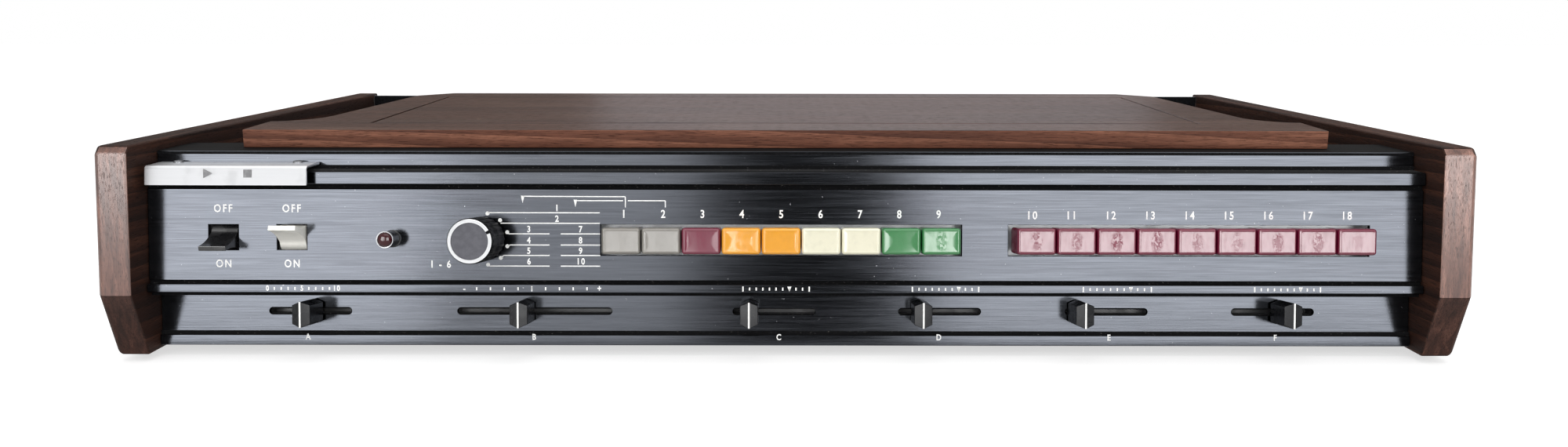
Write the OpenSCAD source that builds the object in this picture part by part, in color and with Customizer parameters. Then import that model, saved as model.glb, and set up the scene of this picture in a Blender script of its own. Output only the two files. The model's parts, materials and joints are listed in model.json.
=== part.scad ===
// Rhythm box with walnut cheeks, two rows of push buttons and six slide controls.
// Millimetres, +Z up, +X to the player's right, the player sits on the -Y side.
// The origin lies on the table under the middle of the case.

/* [Case] */
// Clear width between the inner walls of the two wooden cheeks
inner_w = 519; // [505:1:560]
// Thickness of each wooden cheek
cheek_t = 13.6; // [10:0.2:18]
// Depth of a cheek from its front knee to its rear edge
cheek_depth = 295; // [285:1:330]
// Height of a cheek from its lower edge to its flat top
cheek_h = 85.9; // [84:0.1:90]
// Height of the front knee above the cheek's lower edge
knee_h = 27; // [20:1:35]
// How far the cheek's lower front corner lies behind the knee
toe_back = 9.1; // [4:0.1:14]
// How far the cheek's upper front corner lies behind the knee
brow_back = 6.6; // [4:0.1:9]
// Bevel round the outer edges of a cheek
cheek_bevel = 1.8; // [0.5:0.1:3]
// How far the rubber feet hold the cheeks off the table
foot_reach = 3; // [2:0.5:6]
// Thickness of the steel sheet parts
sheet_t = 1.5; // [1:0.1:1.8]

/* [Front] */
// Backward lean of the control panels in degrees
lean = 8.5; // [6:0.1:10]
// How far the main panel's lower edge lies behind the knee
panel_back = 13.5; // [12:0.1:15]
// Height of the main panel's lower edge above the cheeks' lower edge
panel_lift = 30.4; // [29:0.1:31.5]
// Visible height of the main panel
panel_h = 37; // [35:0.1:37.4]
// Thickness of the aluminium control panels
panel_t = 2; // [1.5:0.1:2.5]
// How far the trim rails stand out of the main panel
rail_proud = 1.7; // [1:0.1:2.5]
// Height of the dark joints at the tick rail and at the bottom rail
joint_h = 1.6; // [1:0.1:2]
// Height of the dark joint between the main panel and the middle rail
middle_joint_h = 2; // [1.5:0.1:3]
// Height of the rail above the main panel
middle_rail_h = 5; // [4:0.1:6]
// Height of the rail under the main panel, which carries the scales
tick_rail_h = 3.4; // [3:0.1:3.6]
// How far the lower panel lies behind the main panel
lower_back = 9.4; // [8:0.1:10]
// Height of the bottom rail
bottom_rail_h = 4.3; // [4:0.1:5]
// Thickness of the bottom rail
bottom_rail_t = 1.5; // [1:0.1:2]
// Depth of the ledge between the middle rail and the top rail
ledge_depth = 9.6; // [9:0.1:11]
// Thickness of the felt laid in the joints and on the ledge
felt_t = 0.6; // [0.4:0.1:1]
// Thickness of the felt in the joints beside the main panel
joint_felt_t = 1; // [0.5:0.1:1.4]

/* [Lid] */
// Thickness of the wooden lid
lid_t = 7.7; // [7:0.1:9]
// Height of the lid's top above the cheeks' tops
lid_stand = 3.2; // [2.5:0.1:4]
// How far the lid's front edge lies behind the top rail's upper edge
lid_back = 10.6; // [8:0.1:12]
// Depth of the lid from front to rear
lid_depth = 213; // [205:1:220]
// Width of the lid at its front edge
lid_front_w = 457; // [453:1:460]
// Width of the lid at its shoulders
lid_shoulder_w = 465; // [461:1:470]
// Width of the lid behind its shoulders
lid_neck_w = 429.5; // [427:0.5:433]
// Distance of the shoulders behind the lid's front edge
shoulder_back = 36; // [30:1:40]
// Depth of the curve from the shoulders to the narrow part
cove_depth = 27; // [20:1:35]
// How much the lid's rear corners are cut, across the lid
rear_cut_w = 16; // [5:1:20]
// How much the lid's rear corners are cut, along the lid
rear_cut_d = 20; // [5:1:25]

/* [Music rest] */
// Distance of the rest's front seam behind the lid's front edge
rest_back = 30.2; // [28:0.1:32]
// Depth of the rest from seam to seam
rest_depth = 154; // [145:1:156]
// Width of the rest at its front seam
rest_front_w = 368; // [360:1:370]
// Width of the rest at its rear seam
rest_rear_w = 386; // [378:1:388]
// Width of the slit at each side of the rest
slit_w = 1.3; // [0.8:0.1:1.6]
// Width of the seam at the rest's front and rear edges
seam_w = 0.6; // [0.4:0.1:1]
// Radius of the rest's hinge pins
rest_pin_r = 1; // [0.8:0.1:1.2]
// Distance of the prop's pivot behind the rest's hinge
prop_pivot_back = 62; // [50:1:64]
// Radius of the prop's wire
prop_wire_r = 1.25; // [1:0.05:1.5]
// Distance between the prop's two legs
prop_w = 60; // [40:1:120]

/* [Push buttons] */
// Number of buttons in each row
button_count = 9; // [9:1:9]
// Distance from one button to the next
button_pitch = 16; // [15.5:0.1:16]
// Gap between two neighbouring button caps
button_gap = 0.5; // [0.4:0.1:1.5]
// Height of a button cap
button_h = 10.6; // [9:0.1:11]
// How far a button cap stands out of the main panel
button_reach = 10; // [7:0.1:12]
// Travel of a button
button_travel = 4; // [2:0.1:4.5]
// Radius of a button cap's corners
button_corner_r = 1.2; // [0.5:0.1:2]
// Centre of the left row from the case's middle, as a share of the inner width
left_row_at = -0.0035; // [-0.01:0.0005:0.003]
// Centre of the right row from the case's middle, as a share of the inner width
right_row_at = 0.3162; // [0.313:0.0001:0.319]
// Height of both rows above the main panel's lower edge
row_up = 16.5; // [14:0.1:20]
// Play between the row's slot and its caps at each end
row_slot_play = 1.75; // [1:0.05:3]
// Height of a row's slot
row_slot_h = 12.6; // [12:0.1:13.5]

/* [Slide controls] */
// Travel of the five short slide controls
short_travel = 30; // [25:1:32]
// Travel of the long slide control
long_travel = 60; // [50:1:62]
// Height of a slide control's slot
slot_h = 2.9; // [2.4:0.1:3.5]
// Height of the slots above the main panel's lower edge, negative as they lie below it
slot_up = -13.6; // [-14.5:0.1:-13]
// Width of a slider's cap
cap_w = 7.3; // [6:0.1:9]
// Height of a slider's cap at its ridge
cap_h = 10.6; // [9:0.1:11]
// Height of a slider's cap at its sides
cap_side_h = 7.6; // [6:0.1:8.5]
// How far a slider's cap stands out of the lower panel
cap_reach = 16; // [12:0.1:17]
// Gap between a slider's cap and the lower panel
cap_lift = 1.2; // [0.6:0.1:2]
// Width of a slider's lever
lever_w = 3.2; // [2.5:0.1:4]
// Thickness of a slider's lever
lever_t = 1.6; // [1.2:0.1:2]

/* [Knob, lamp and switches] */
// Place of the rotary knob from the case's middle, as a share of the inner width
knob_at = -0.2368; // [-0.242:0.0001:-0.232]
// Height of the knob's axis above the main panel's lower edge
knob_up = 16.9; // [14:0.1:20]
// Diameter of the knob
knob_d = 18.2; // [16:0.1:20]
// How far the knob stands out of the main panel
knob_reach = 21.5; // [18:0.1:24]
// Radius of the rotary switch's shaft
shaft_r = 3; // [2.5:0.1:3.2]
// Place of the pilot lamp from the case's middle, as a share of the inner width
lamp_at = -0.3081; // [-0.314:0.0001:-0.302]
// Radius of the pilot lamp's ring
lamp_r = 3.6; // [3.2:0.1:4.5]
// How far the pilot lamp stands out of the main panel
lamp_reach = 9.6; // [7:0.1:11]
// Place of the power switch from the case's middle, as a share of the inner width
power_at = -0.4405; // [-0.444:0.0001:-0.436]
// Place of the second lever switch from the case's middle, as a share of the inner width
mute_at = -0.3869; // [-0.391:0.0001:-0.383]
// Height of both lever switches above the main panel's lower edge
paddle_up = 17.4; // [15:0.1:20]
// Width of a switch lever
paddle_w = 10.9; // [9:0.1:11.3]
// Half of the angle that a switch lever is thrown through
paddle_throw = 13; // [8:0.5:14]
// Length of the wide start bar
start_bar_w = 65; // [50:1:66]
// Gap between the start bar and the left cheek
start_bar_gap = 2.5; // [2:0.1:4]
// How far the start bar's face stands out of the main panel
start_bar_reach = 6.7; // [6.5:0.1:7.5]
// Travel of the start bar
start_travel = 1.4; // [0.8:0.1:1.5]

/* [Rear] */
// How far the rear panel lies inside the cheeks' rear edges
rear_inset = 6; // [5.5:0.1:10]
// Radius of the jack sockets' holes
jack_r = 3.2; // [3:0.1:3.5]
// Radius of the cable gland's hole
gland_r = 3.5; // [3:0.1:4]

/* [Hidden] */
$fn = 48;

// Clearances, shared by every pair of pieces that fit together
eps = 0.5;                 // overshoot of a cutting solid past the face it cuts
side_gap = 0.3;            // sheet metal to the wooden cheeks
run_gap = 0.05;            // a shaft in its bore, on the radius
slide_gap = 0.3;           // a piece sliding past flat walls
screw_gap = 0.2;           // a screw in its hole, on the radius

// The case's main levels and depths
knob_front = knob_reach * cos(lean) - (knob_up - knob_d / 2) * sin(lean) - panel_back;
knee_y = -(cheek_depth - max(knob_front, 0)) / 2;
rear_y = knee_y + cheek_depth;
cheek_z = foot_reach;
cheek_top = cheek_z + cheek_h;
lid_top = cheek_top + lid_stand;
lid_z = lid_top - lid_t;
panel_y = knee_y + panel_back;
panel_z = cheek_z + panel_lift;
sheet_w = inner_w - 2 * side_gap;

// A point given by its depth behind the main panel's face and its height up that face
function at_y(depth, up) = panel_y + depth * cos(lean) + up * sin(lean);
function at_z(depth, up) = panel_z - depth * sin(lean) + up * cos(lean);
// How far up the panel a level lies, at a depth behind its face
function up_at(depth, z) = (z - panel_z + depth * sin(lean)) / cos(lean);

web_back = panel_t + sheet_t;                       // rear face of the front chassis
tick_top = -joint_h;
tick_foot = tick_top - tick_rail_h;
lower_top = tick_foot - sheet_t;                    // the lower panel ends under the chassis
middle_foot = panel_h + middle_joint_h;
middle_top = middle_foot + middle_rail_h;
ledge_z = at_z(-rail_proud, middle_top);
cover_z = ledge_z - felt_t;                         // top of the ledge sheet and the top cover
ledge_front = at_y(panel_t, up_at(panel_t, ledge_z));
riser_y = at_y(-rail_proud, middle_top) + ledge_depth;
riser_top_y = riser_y + (lid_z - cover_z) * tan(lean);
lid_y = riser_top_y + lid_back;
lid_rear = lid_y + lid_depth;
lower_rear = lower_back + panel_t;
base_z = cheek_z + 1.8;
base_top = base_z + sheet_t;
bottom_rail_front = lower_back - bottom_rail_t;
bottom_rail_top = up_at(bottom_rail_front, base_z) + bottom_rail_h;
lower_foot = up_at(lower_rear, base_z);
base_front = at_y(lower_rear, lower_foot);
base_lip_h = 7;                                     // the base's upturned front edge
back_in = rear_y - rear_inset - sheet_t;            // inner face of the rear panel
back_out = rear_y - rear_inset;

// Rest and prop: an upright triangle of equal sides when the rest stands at 60 degrees
rest_y = lid_y + rest_back;
knuckle_r = rest_pin_r + 0.6;
hinge_y = rest_y + knuckle_r;
hinge_z = lid_top - knuckle_r;
rest_pin_len = 8;
prop_y = hinge_y + prop_pivot_back;
prop_z = lid_z - prop_wire_r - 1;
prop_drop = hinge_z - prop_z;
prop_foot_gap = 0.5;
prop_rise = hinge_z - cover_z - prop_wire_r - prop_foot_gap;
prop_len = prop_pivot_back + sqrt(prop_rise * prop_rise - prop_drop * prop_drop);
ear_w = 5;
ear_gap = 1;

// Controls
button_w = button_pitch - button_gap;
row_w = button_count * button_pitch - button_gap;
row_slot_w = row_w + 2 * row_slot_play;
row_xs = [left_row_at * inner_w, right_row_at * inner_w];
cap_tail = 3;                                       // a button cap's length behind the panel
stem_w = 6;
stem_h = 3.2;
bank_front = web_back + cap_tail + button_travel + 0.5;
bank_depth = 28;
stem_end = bank_front + 9;
paddle_cut_w = paddle_w + 1.4;
paddle_cut_h = 10.4;
paddle_pivot = 8;
drum_r = 7.6;
paddle_pin_r = 1.2;
paddle_xs = [power_at * inner_w, mute_at * inner_w];
knob_x = knob_at * inner_w;
lamp_x = lamp_at * inner_w;
switch_wall = 1.2;
switch_room_w = paddle_w + 2 * slide_gap;
switch_room_h = 2 * (drum_r + 0.6);
bush_r = shaft_r + 1.5;
nut_r = bush_r + 1.7;
nut_t = 2;
knob_lift = 0.8;
lamp_thread_r = lamp_r - 0.7;
lens_r = lamp_r - 1;

// The slide controls: middle of each slot as a share of the inner width, its travel, and where
// its cap is set
slide_at = [-0.3803, -0.2008, -0.0092, 0.1235, 0.257, 0.3902];
slide_x = [for (at = slide_at) at * inner_w];
slide_travel = [short_travel, long_travel, short_travel, short_travel, short_travel, short_travel];
slide_set = [2, -3.5, -10, -8.5, -12.5, 2.3];
slot_play = 0.5;
pot_h = 9;
pot_depth = 8;
pot_ear = 8;
pot_end = 5;                                        // a potentiometer's body past its slot
lever_in = 4;

// The start bar and its plungers
start_bar_left = -inner_w / 2 + start_bar_gap;
start_bar_x = start_bar_left + start_bar_w / 2;
start_bar_t = 1.2;
start_bar_lap = 0.6;                                // the bar hangs this far below the rail
start_bar_foot = middle_foot - start_bar_lap;
plunger_r = 1.5;
plunger_clear = 0.9;                                // between the plungers and the ledge's upright
plunger_y = riser_y - plunger_r - plunger_clear;
plunger_inset = 8;
plunger_xs = [start_bar_left + plunger_inset, start_bar_left + start_bar_w - plunger_inset];
start_bar_top = cover_z + felt_t + start_travel + 0.3 + start_bar_t;
plunger_len = 14;
switch_top = start_bar_top - start_bar_t - plunger_len - start_travel - 0.3;

// Inside and underneath
foot_r = 9;
foot_inset = 45;
foot_xs = [-inner_w / 2 + foot_inset, inner_w / 2 - foot_inset];
foot_ys = [base_front + foot_inset, back_in - foot_inset + foot_r + 1];
screw_r = 1.5;
screw_head_r = 2.8;
screw_head_t = 1.6;
bracket_leg = 12;
board_w = 300;
board_d = 140;
board_t = 1.6;
board_x = 60;
board_y = back_in - board_d - 30;
standoff_h = 8;
standoff_r = 3;
board_z = base_top + standoff_h;
jack_pitch = 30;
jack_from_side = 54.5;
jack_xs = [for (i = [0 : 2]) -inner_w / 2 + jack_from_side + i * jack_pitch];
jack_wall = 1.5;
jack_reach = 4;
jack_up = 40;
jack_z = cheek_z + jack_up;
jack_body = 16;
jack_depth = 18;
gland_from_side = 69.5;
gland_x = inner_w / 2 - gland_from_side;
transformer_from_side = 74.5;
transformer_x = -inner_w / 2 + transformer_from_side;
core_w = 60;
core_d = 26;
core_h = 48;
coil_w = 38;
coil_d = 46;
coil_h = 34;
core_tab = 10;
transformer_back = 60;                              // its middle in front of the rear panel

// ---- shared shapes ---------------------------------------------------------------------

// A box given by its limits along x, y and z
module span(x, y, z) {
    translate([x[0], y[0], z[0]]) cube([x[1] - x[0], y[1] - y[0], z[1] - z[0]]);
}

// Stands its children on the leaning main panel: x across, y into the case, z up the panel
module on_panel() {
    translate([0, panel_y, panel_z]) rotate([-lean, 0, 0]) children();
}

// Sweeps a profile drawn as [depth, height] across the case
module across(width, x = 0) {
    translate([x - width / 2, 0, 0]) rotate([90, 0, 90]) linear_extrude(width) children();
}

// A round bar along x
module bar_x(x0, x1, r) {
    translate([x0, 0, 0]) rotate([0, 90, 0]) cylinder(h = x1 - x0, r = r);
}

// A round bar along y
module bar_y(y0, y1, r) {
    translate([0, y0, 0]) rotate([-90, 0, 0]) cylinder(h = y1 - y0, r = r);
}

// A slot with round ends, cut along y
module round_slot(x, up, length, height, y) {
    span([x - length / 2 + height / 2, x + length / 2 - height / 2], y, [up - height / 2, up + height / 2]);
    for (side = [-1, 1])
        translate([x + side * (length - height) / 2, 0, up]) bar_y(y[0], y[1], height / 2);
}

// The main panel's openings, wider by a margin, between two depths
module panel_openings(margin, y) {
    for (x = row_xs)
        span([x - row_slot_w / 2 - margin, x + row_slot_w / 2 + margin], y,
             [row_up - row_slot_h / 2 - margin, row_up + row_slot_h / 2 + margin]);
    for (x = paddle_xs)
        span([x - paddle_cut_w / 2 - margin, x + paddle_cut_w / 2 + margin], y,
             [paddle_up - paddle_cut_h / 2 - margin, paddle_up + paddle_cut_h / 2 + margin]);
    translate([knob_x, 0, knob_up]) bar_y(y[0], y[1], bush_r + screw_gap);
    translate([lamp_x, 0, knob_up]) bar_y(y[0], y[1], lamp_thread_r + screw_gap);
}

// ---- wooden case -----------------------------------------------------------------------

cheek_outline = [
    [knee_y + toe_back, cheek_z],
    [knee_y, cheek_z + knee_h],
    [knee_y + brow_back, cheek_top - 2.9],
    [knee_y + brow_back + 2.6, cheek_top],
    [rear_y, cheek_top],
    [rear_y, cheek_z]];

// A cheek standing on the right side of the case, its outer edges bevelled
module cheek() {
    hull() {
        across(cheek_t - cheek_bevel, (inner_w + cheek_t - cheek_bevel) / 2) polygon(cheek_outline);
        across(cheek_t, (inner_w + cheek_t) / 2) offset(delta = -cheek_bevel) polygon(cheek_outline);
    }
}

module left_cheek() {
    color("#5b3a2c") mirror([1, 0, 0]) cheek();
}

module right_cheek() {
    color("#5b3a2c") cheek();
}

// Half of the lid's outline, from front to rear: straight flare, quarter-ellipse cove, neck
cove_steps = 8;
lid_half = concat(
    [[lid_front_w / 2, lid_y]],
    [for (i = [0 : cove_steps])
        [lid_neck_w / 2 + (lid_shoulder_w - lid_neck_w) / 2 * (1 - sin(90 * i / cove_steps)),
         lid_y + shoulder_back + cove_depth * (1 - cos(90 * i / cove_steps))]],
    [[lid_neck_w / 2, lid_rear - rear_cut_d],
     [lid_neck_w / 2 - rear_cut_w, lid_rear]]);
lid_outline = concat(lid_half, [for (i = [len(lid_half) - 1 : -1 : 0]) [-lid_half[i][0], lid_half[i][1]]]);

// The rest's outline in plan, grown by the seams and slits round it
module rest_plan(side = 0, seam = 0) {
    front = rest_front_w / 2 + side;
    rear = rest_rear_w / 2 + side;
    polygon([[-front, rest_y - seam], [front, rest_y - seam],
             [rear, rest_y + rest_depth + seam], [-rear, rest_y + rest_depth + seam]]);
}

module lid_frame() {
    color("#6a4632") difference() {
        translate([0, 0, lid_z]) linear_extrude(lid_t) difference() {
            polygon(lid_outline);
            rest_plan(slit_w, seam_w);
        }
        for (side = [-1, 1])
            translate([side * (rest_front_w / 2 + rest_pin_len / 2), hinge_y, hinge_z])
                bar_x(-rest_pin_len / 2 - eps, rest_pin_len / 2 + eps, rest_pin_r + run_gap);
    }
}

// Two wooden runners and a rear cross piece between the top cover and the lid
batten_w = 12;
module lid_battens() {
    side_x = (lid_neck_w / 2 + rest_rear_w / 2 + slit_w) / 2;
    rear_y0 = rest_y + rest_depth - 6;
    color("#4a2f22") {
        for (side = [-1, 1])
            span(side > 0 ? [side_x - batten_w / 2, side_x + batten_w / 2]
                          : [-side_x - batten_w / 2, -side_x + batten_w / 2],
                 [lid_y + shoulder_back, lid_rear - rear_cut_d], [cover_z, lid_z]);
        span([-side_x + batten_w, side_x - batten_w], [rear_y0, rear_y0 + batten_w],
             [cover_z, lid_z - run_gap]);
    }
}

// ---- music rest ------------------------------------------------------------------------

module music_rest() {
    ear_y = knuckle_r + prop_wire_r + 1;
    color("#6a4632") difference() {
        union() {
            intersection() {
                translate([0, 0, lid_z]) linear_extrude(lid_t) rest_plan();
                across(rest_rear_w) {
                    difference() {
                        translate([rest_y, lid_z]) square([rest_depth, lid_t]);
                        translate([rest_y - eps, hinge_z]) square([knuckle_r + eps, lid_t]);
                    }
                    translate([hinge_y, hinge_z]) circle(knuckle_r);
                }
            }
            for (side = [-1, 1])
                translate([side * rest_front_w / 2, hinge_y, hinge_z])
                    bar_x(-rest_pin_len + eps, rest_pin_len - eps, rest_pin_r);
            for (side = [-1, 1])
                translate([side * (prop_w / 2 + prop_wire_r + ear_gap + ear_w / 2), 0, 0])
                    span([-ear_w / 2, ear_w / 2], [prop_y - ear_y, prop_y + ear_y],
                         [prop_z - prop_wire_r - 1, lid_z + eps]);
        }
        translate([0, prop_y, prop_z]) bar_x(-rest_front_w / 4, rest_front_w / 4, prop_wire_r + run_gap);
    }
}

// A bent wire that swings down from two ears under the rest
module rest_prop() {
    pivot_x = prop_w / 2 + prop_wire_r + ear_gap + ear_w + 0.5;
    color("silver") translate([0, prop_y, prop_z]) {
        for (side = [-1, 1]) {
            bar_x(side > 0 ? prop_w / 2 : -pivot_x, side > 0 ? pivot_x : -prop_w / 2, prop_wire_r);
            translate([side * prop_w / 2, 0, 0]) {
                bar_y(0, prop_len, prop_wire_r);
                sphere(prop_wire_r);
                translate([0, prop_len, 0]) sphere(prop_wire_r);
            }
        }
        translate([0, prop_len, 0]) bar_x(-prop_w / 2, prop_w / 2, prop_wire_r);
    }
}

// ---- metal case ------------------------------------------------------------------------

// A row of vents, centred on x
vent_w = 3;
vent_len = 24;
vent_pitch = 9;
vent_count = 12;
module vents(x, y) {
    for (i = [0 : vent_count - 1])
        translate([x + (i - (vent_count - 1) / 2) * vent_pitch, y, 0])
            span([-vent_w / 2, vent_w / 2], [0, vent_len], [base_z - eps, base_top + eps]);
}

module base_plate() {
    color("#2a2a2c") difference() {
        union() {
            span([-sheet_w / 2, sheet_w / 2], [at_y(lower_rear, up_at(lower_rear, base_top)), back_in],
                 [base_z, base_top]);
            on_panel() across(sheet_w) polygon([
                [lower_rear, lower_foot],
                [lower_rear, lower_foot + base_lip_h],
                [lower_rear + sheet_t, lower_foot + base_lip_h],
                [lower_rear + sheet_t, up_at(lower_rear + sheet_t, base_z)]]);
        }
        for (x = foot_xs, y = foot_ys)
            translate([x, y, base_z - eps]) cylinder(h = sheet_t + 2 * eps, r = screw_r + screw_gap);
        for (x = [-inner_w / 3, inner_w / 3])
            vents(x, (base_front + back_in) / 2 - vent_len);
    }
}

module rear_panel() {
    color("#4c4f55") difference() {
        span([-sheet_w / 2, sheet_w / 2], [back_in, back_out], [base_z, cheek_top - 1]);
        for (x = jack_xs)
            translate([x, 0, jack_z]) bar_y(back_in - eps, back_out + eps, jack_r + jack_wall + screw_gap);
        translate([gland_x, 0, jack_z]) bar_y(back_in - eps, back_out + eps, gland_r + 2 + screw_gap);
        for (i = [0 : 11])
            span([-60 + i * 10, -60 + i * 10 + vent_w], [back_in - eps, back_out + eps],
                 [jack_z - 10, jack_z + 14]);
        for (x = back_screw_xs)
            translate([x, 0, back_screw_z]) bar_y(back_in - eps, back_out + eps, screw_r + screw_gap);
    }
}

module top_cover() {
    color("#1b1b1d") difference() {
        span([-sheet_w / 2, sheet_w / 2], [riser_y + sheet_t + side_gap, back_in], [cover_z - sheet_t, cover_z]);
        for (x = cover_screw_xs, y = cover_screw_ys)
            translate([x, y, cover_z - sheet_t - eps])
                cylinder(h = sheet_t + 2 * eps, r = screw_r + screw_gap);
    }
}

// Angles along both cheeks, under the top cover and on the base plate
cover_screw_xs = [-inner_w / 2 + bracket_leg / 2 + 1, inner_w / 2 - bracket_leg / 2 - 1];
cover_screw_ys = [riser_y + 40, back_in - 40];
back_screw_xs = [-inner_w / 2 + 60, inner_w / 2 - 60];
back_screw_z = base_top + 8;
module cheek_brackets() {
    front = at_y(web_back, 0) + 24;
    rear = back_in - 2;
    under_cover = cover_z - sheet_t;
    color("#8d8f92") difference() {
        for (side = [0, 1]) mirror([side, 0, 0]) {
            span([inner_w / 2 - bracket_leg, inner_w / 2], [front, rear], [under_cover - sheet_t, under_cover]);
            span([inner_w / 2 - sheet_t, inner_w / 2], [front, rear], [under_cover - bracket_leg, under_cover]);
            span([inner_w / 2 - bracket_leg, inner_w / 2], [front, rear], [base_top, base_top + sheet_t]);
            span([inner_w / 2 - sheet_t, inner_w / 2], [front, rear], [base_top, base_top + bracket_leg]);
        }
        for (x = cover_screw_xs, y = cover_screw_ys)
            translate([x, y, under_cover - sheet_t - eps])
                cylinder(h = sheet_t + 2 * eps, r = screw_r + screw_gap);
    }
}

module rubber_feet() {
    color("#141414") for (x = foot_xs, y = foot_ys)
        translate([x, y, 0]) difference() {
            cylinder(h = base_z, r1 = foot_r - 1, r2 = foot_r);
            translate([0, 0, -eps]) cylinder(h = screw_head_t + 0.5 + eps, r = screw_head_r + 1);
            translate([0, 0, -eps]) cylinder(h = base_z + 2 * eps, r = screw_r + screw_gap);
        }
}

// A round-headed screw standing head down on the origin, and its nut
module screw(length) {
    cylinder(h = screw_head_t, r = screw_head_r);
    translate([0, 0, screw_head_t - eps]) cylinder(h = length + eps, r = screw_r);
}

module nut(at) {
    translate([0, 0, at]) difference() {
        cylinder(h = 2.4, r = 3.2, $fn = 6);
        translate([0, 0, -eps]) cylinder(h = 2.4 + 2 * eps, r = screw_r);
    }
}

standoff_xs = [board_x - board_w / 2 + 6, board_x, board_x + board_w / 2 - 6];
standoff_ys = [board_y + 6, board_y + board_d - 6];
module fasteners() {
    foot_seat = 0.5;
    color("#b9bbbd") {
        for (x = foot_xs, y = foot_ys) translate([x, y, foot_seat]) {
            screw(base_top + 3 - screw_head_t - foot_seat);
            nut(base_top - foot_seat);
        }
        for (x = cover_screw_xs, y = cover_screw_ys)
            translate([x, y, cover_z + screw_head_t]) mirror([0, 0, 1]) screw(2 * sheet_t + 2);
        for (x = back_screw_xs)
            translate([x, back_out + screw_head_t, back_screw_z]) rotate([90, 0, 0]) screw(sheet_t + 4);
        for (x = standoff_xs, y = standoff_ys) translate([x, y, base_top]) {
            cylinder(h = standoff_h, r = standoff_r);
            translate([0, 0, standoff_h - eps]) cylinder(h = board_t + eps, r = screw_r);
            translate([0, 0, standoff_h + board_t]) cylinder(h = screw_head_t, r = screw_head_r);
        }
    }
}

// ---- front -----------------------------------------------------------------------------

// The steel sheet behind the main panel, folded back over the lower panel
module front_chassis() {
    soffit_rear = lower_rear + sheet_t;
    color("#6f7276") on_panel() difference() {
        across(sheet_w) polygon([
            [panel_t, lower_top],
            [panel_t, up_at(panel_t, cover_z - sheet_t)],
            [web_back, up_at(web_back, cover_z - sheet_t)],
            [web_back, tick_foot],
            [soffit_rear, tick_foot],
            [soffit_rear, lower_top]]);
        panel_openings(1.4, [panel_t - eps, web_back + eps]);
    }
}

module front_panel() {
    color("#4a4e57") on_panel() difference() {
        span([-sheet_w / 2, sheet_w / 2], [0, panel_t], [0, panel_h]);
        panel_openings(0, [-eps, panel_t + eps]);
    }
}

module lower_panel() {
    color("#4a4e57") on_panel() difference() {
        span([-sheet_w / 2, sheet_w / 2], [lower_back, lower_rear], [lower_foot, lower_top]);
        for (i = [0 : len(slide_x) - 1])
            round_slot(slide_x[i], slot_up, slide_travel[i] + lever_w + 2 * slot_play, slot_h,
                       [lower_back - eps, lower_rear + eps]);
    }
}

// A folded sheet: ledge, upright face and the shelf that carries the lid's front edge
shelf_depth = 18;
module top_rail() {
    riser_run = (lid_z - cover_z) * tan(lean);
    shelf_rear = lid_y + shelf_depth;
    color("#4a4e57") difference() {
        across(sheet_w) polygon([
            [ledge_front, cover_z - sheet_t],
            [ledge_front, cover_z],
            [riser_y, cover_z],
            [riser_y + riser_run, lid_z],
            [shelf_rear, lid_z],
            [shelf_rear, lid_z - sheet_t],
            [riser_y + riser_run + sheet_t, lid_z - sheet_t],
            [riser_y + sheet_t, cover_z - sheet_t]]);
        for (x = plunger_xs)
            translate([x, plunger_y, cover_z - sheet_t - eps])
                cylinder(h = sheet_t + 2 * eps, r = plunger_r + run_gap);
    }
}

module middle_rail() {
    color("#5a5e67") on_panel() across(sheet_w) polygon([
        [-rail_proud, middle_foot],
        [-rail_proud, middle_top],
        [panel_t, up_at(panel_t, ledge_z)],
        [panel_t, middle_foot]]);
}

module tick_rail() {
    color("#5a5e67") on_panel() span([-sheet_w / 2, sheet_w / 2], [-rail_proud, panel_t], [tick_foot, tick_top]);
}

module bottom_rail() {
    color("#5a5e67") on_panel() across(sheet_w) polygon([
        [bottom_rail_front, up_at(bottom_rail_front, base_z)],
        [bottom_rail_front, bottom_rail_top],
        [lower_back, bottom_rail_top],
        [lower_back, up_at(lower_back, base_z)]]);
}

// Black felt in the three joints and on the ledge
module felt_strips() {
    joint_w = sheet_w;
    color("#111112") {
        on_panel() {
            span([-joint_w / 2, joint_w / 2], [panel_t - joint_felt_t, panel_t], [panel_h, middle_foot]);
            span([-joint_w / 2, joint_w / 2], [panel_t - joint_felt_t, panel_t], [tick_top, 0]);
            span([-joint_w / 2, joint_w / 2], [lower_back - felt_t, lower_back],
                 [bottom_rail_top, bottom_rail_top + joint_h]);
        }
        difference() {
            span([-joint_w / 2, joint_w / 2], [ledge_front, riser_y], [cover_z, ledge_z]);
            for (x = plunger_xs)
                translate([x, plunger_y, cover_z - eps])
                    cylinder(h = felt_t + 2 * eps, r = plunger_r + slide_gap);
        }
    }
}

// ---- controls --------------------------------------------------------------------------

button_colours = [
    ["#a7a39c", "#a7a39c", "#6b1730", "#efa22b", "#efa22b", "#e9e2cf", "#e9e2cf", "#2f9a63", "#2f9a63"],
    [for (i = [1 : button_count]) "#6b1730"]];

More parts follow.
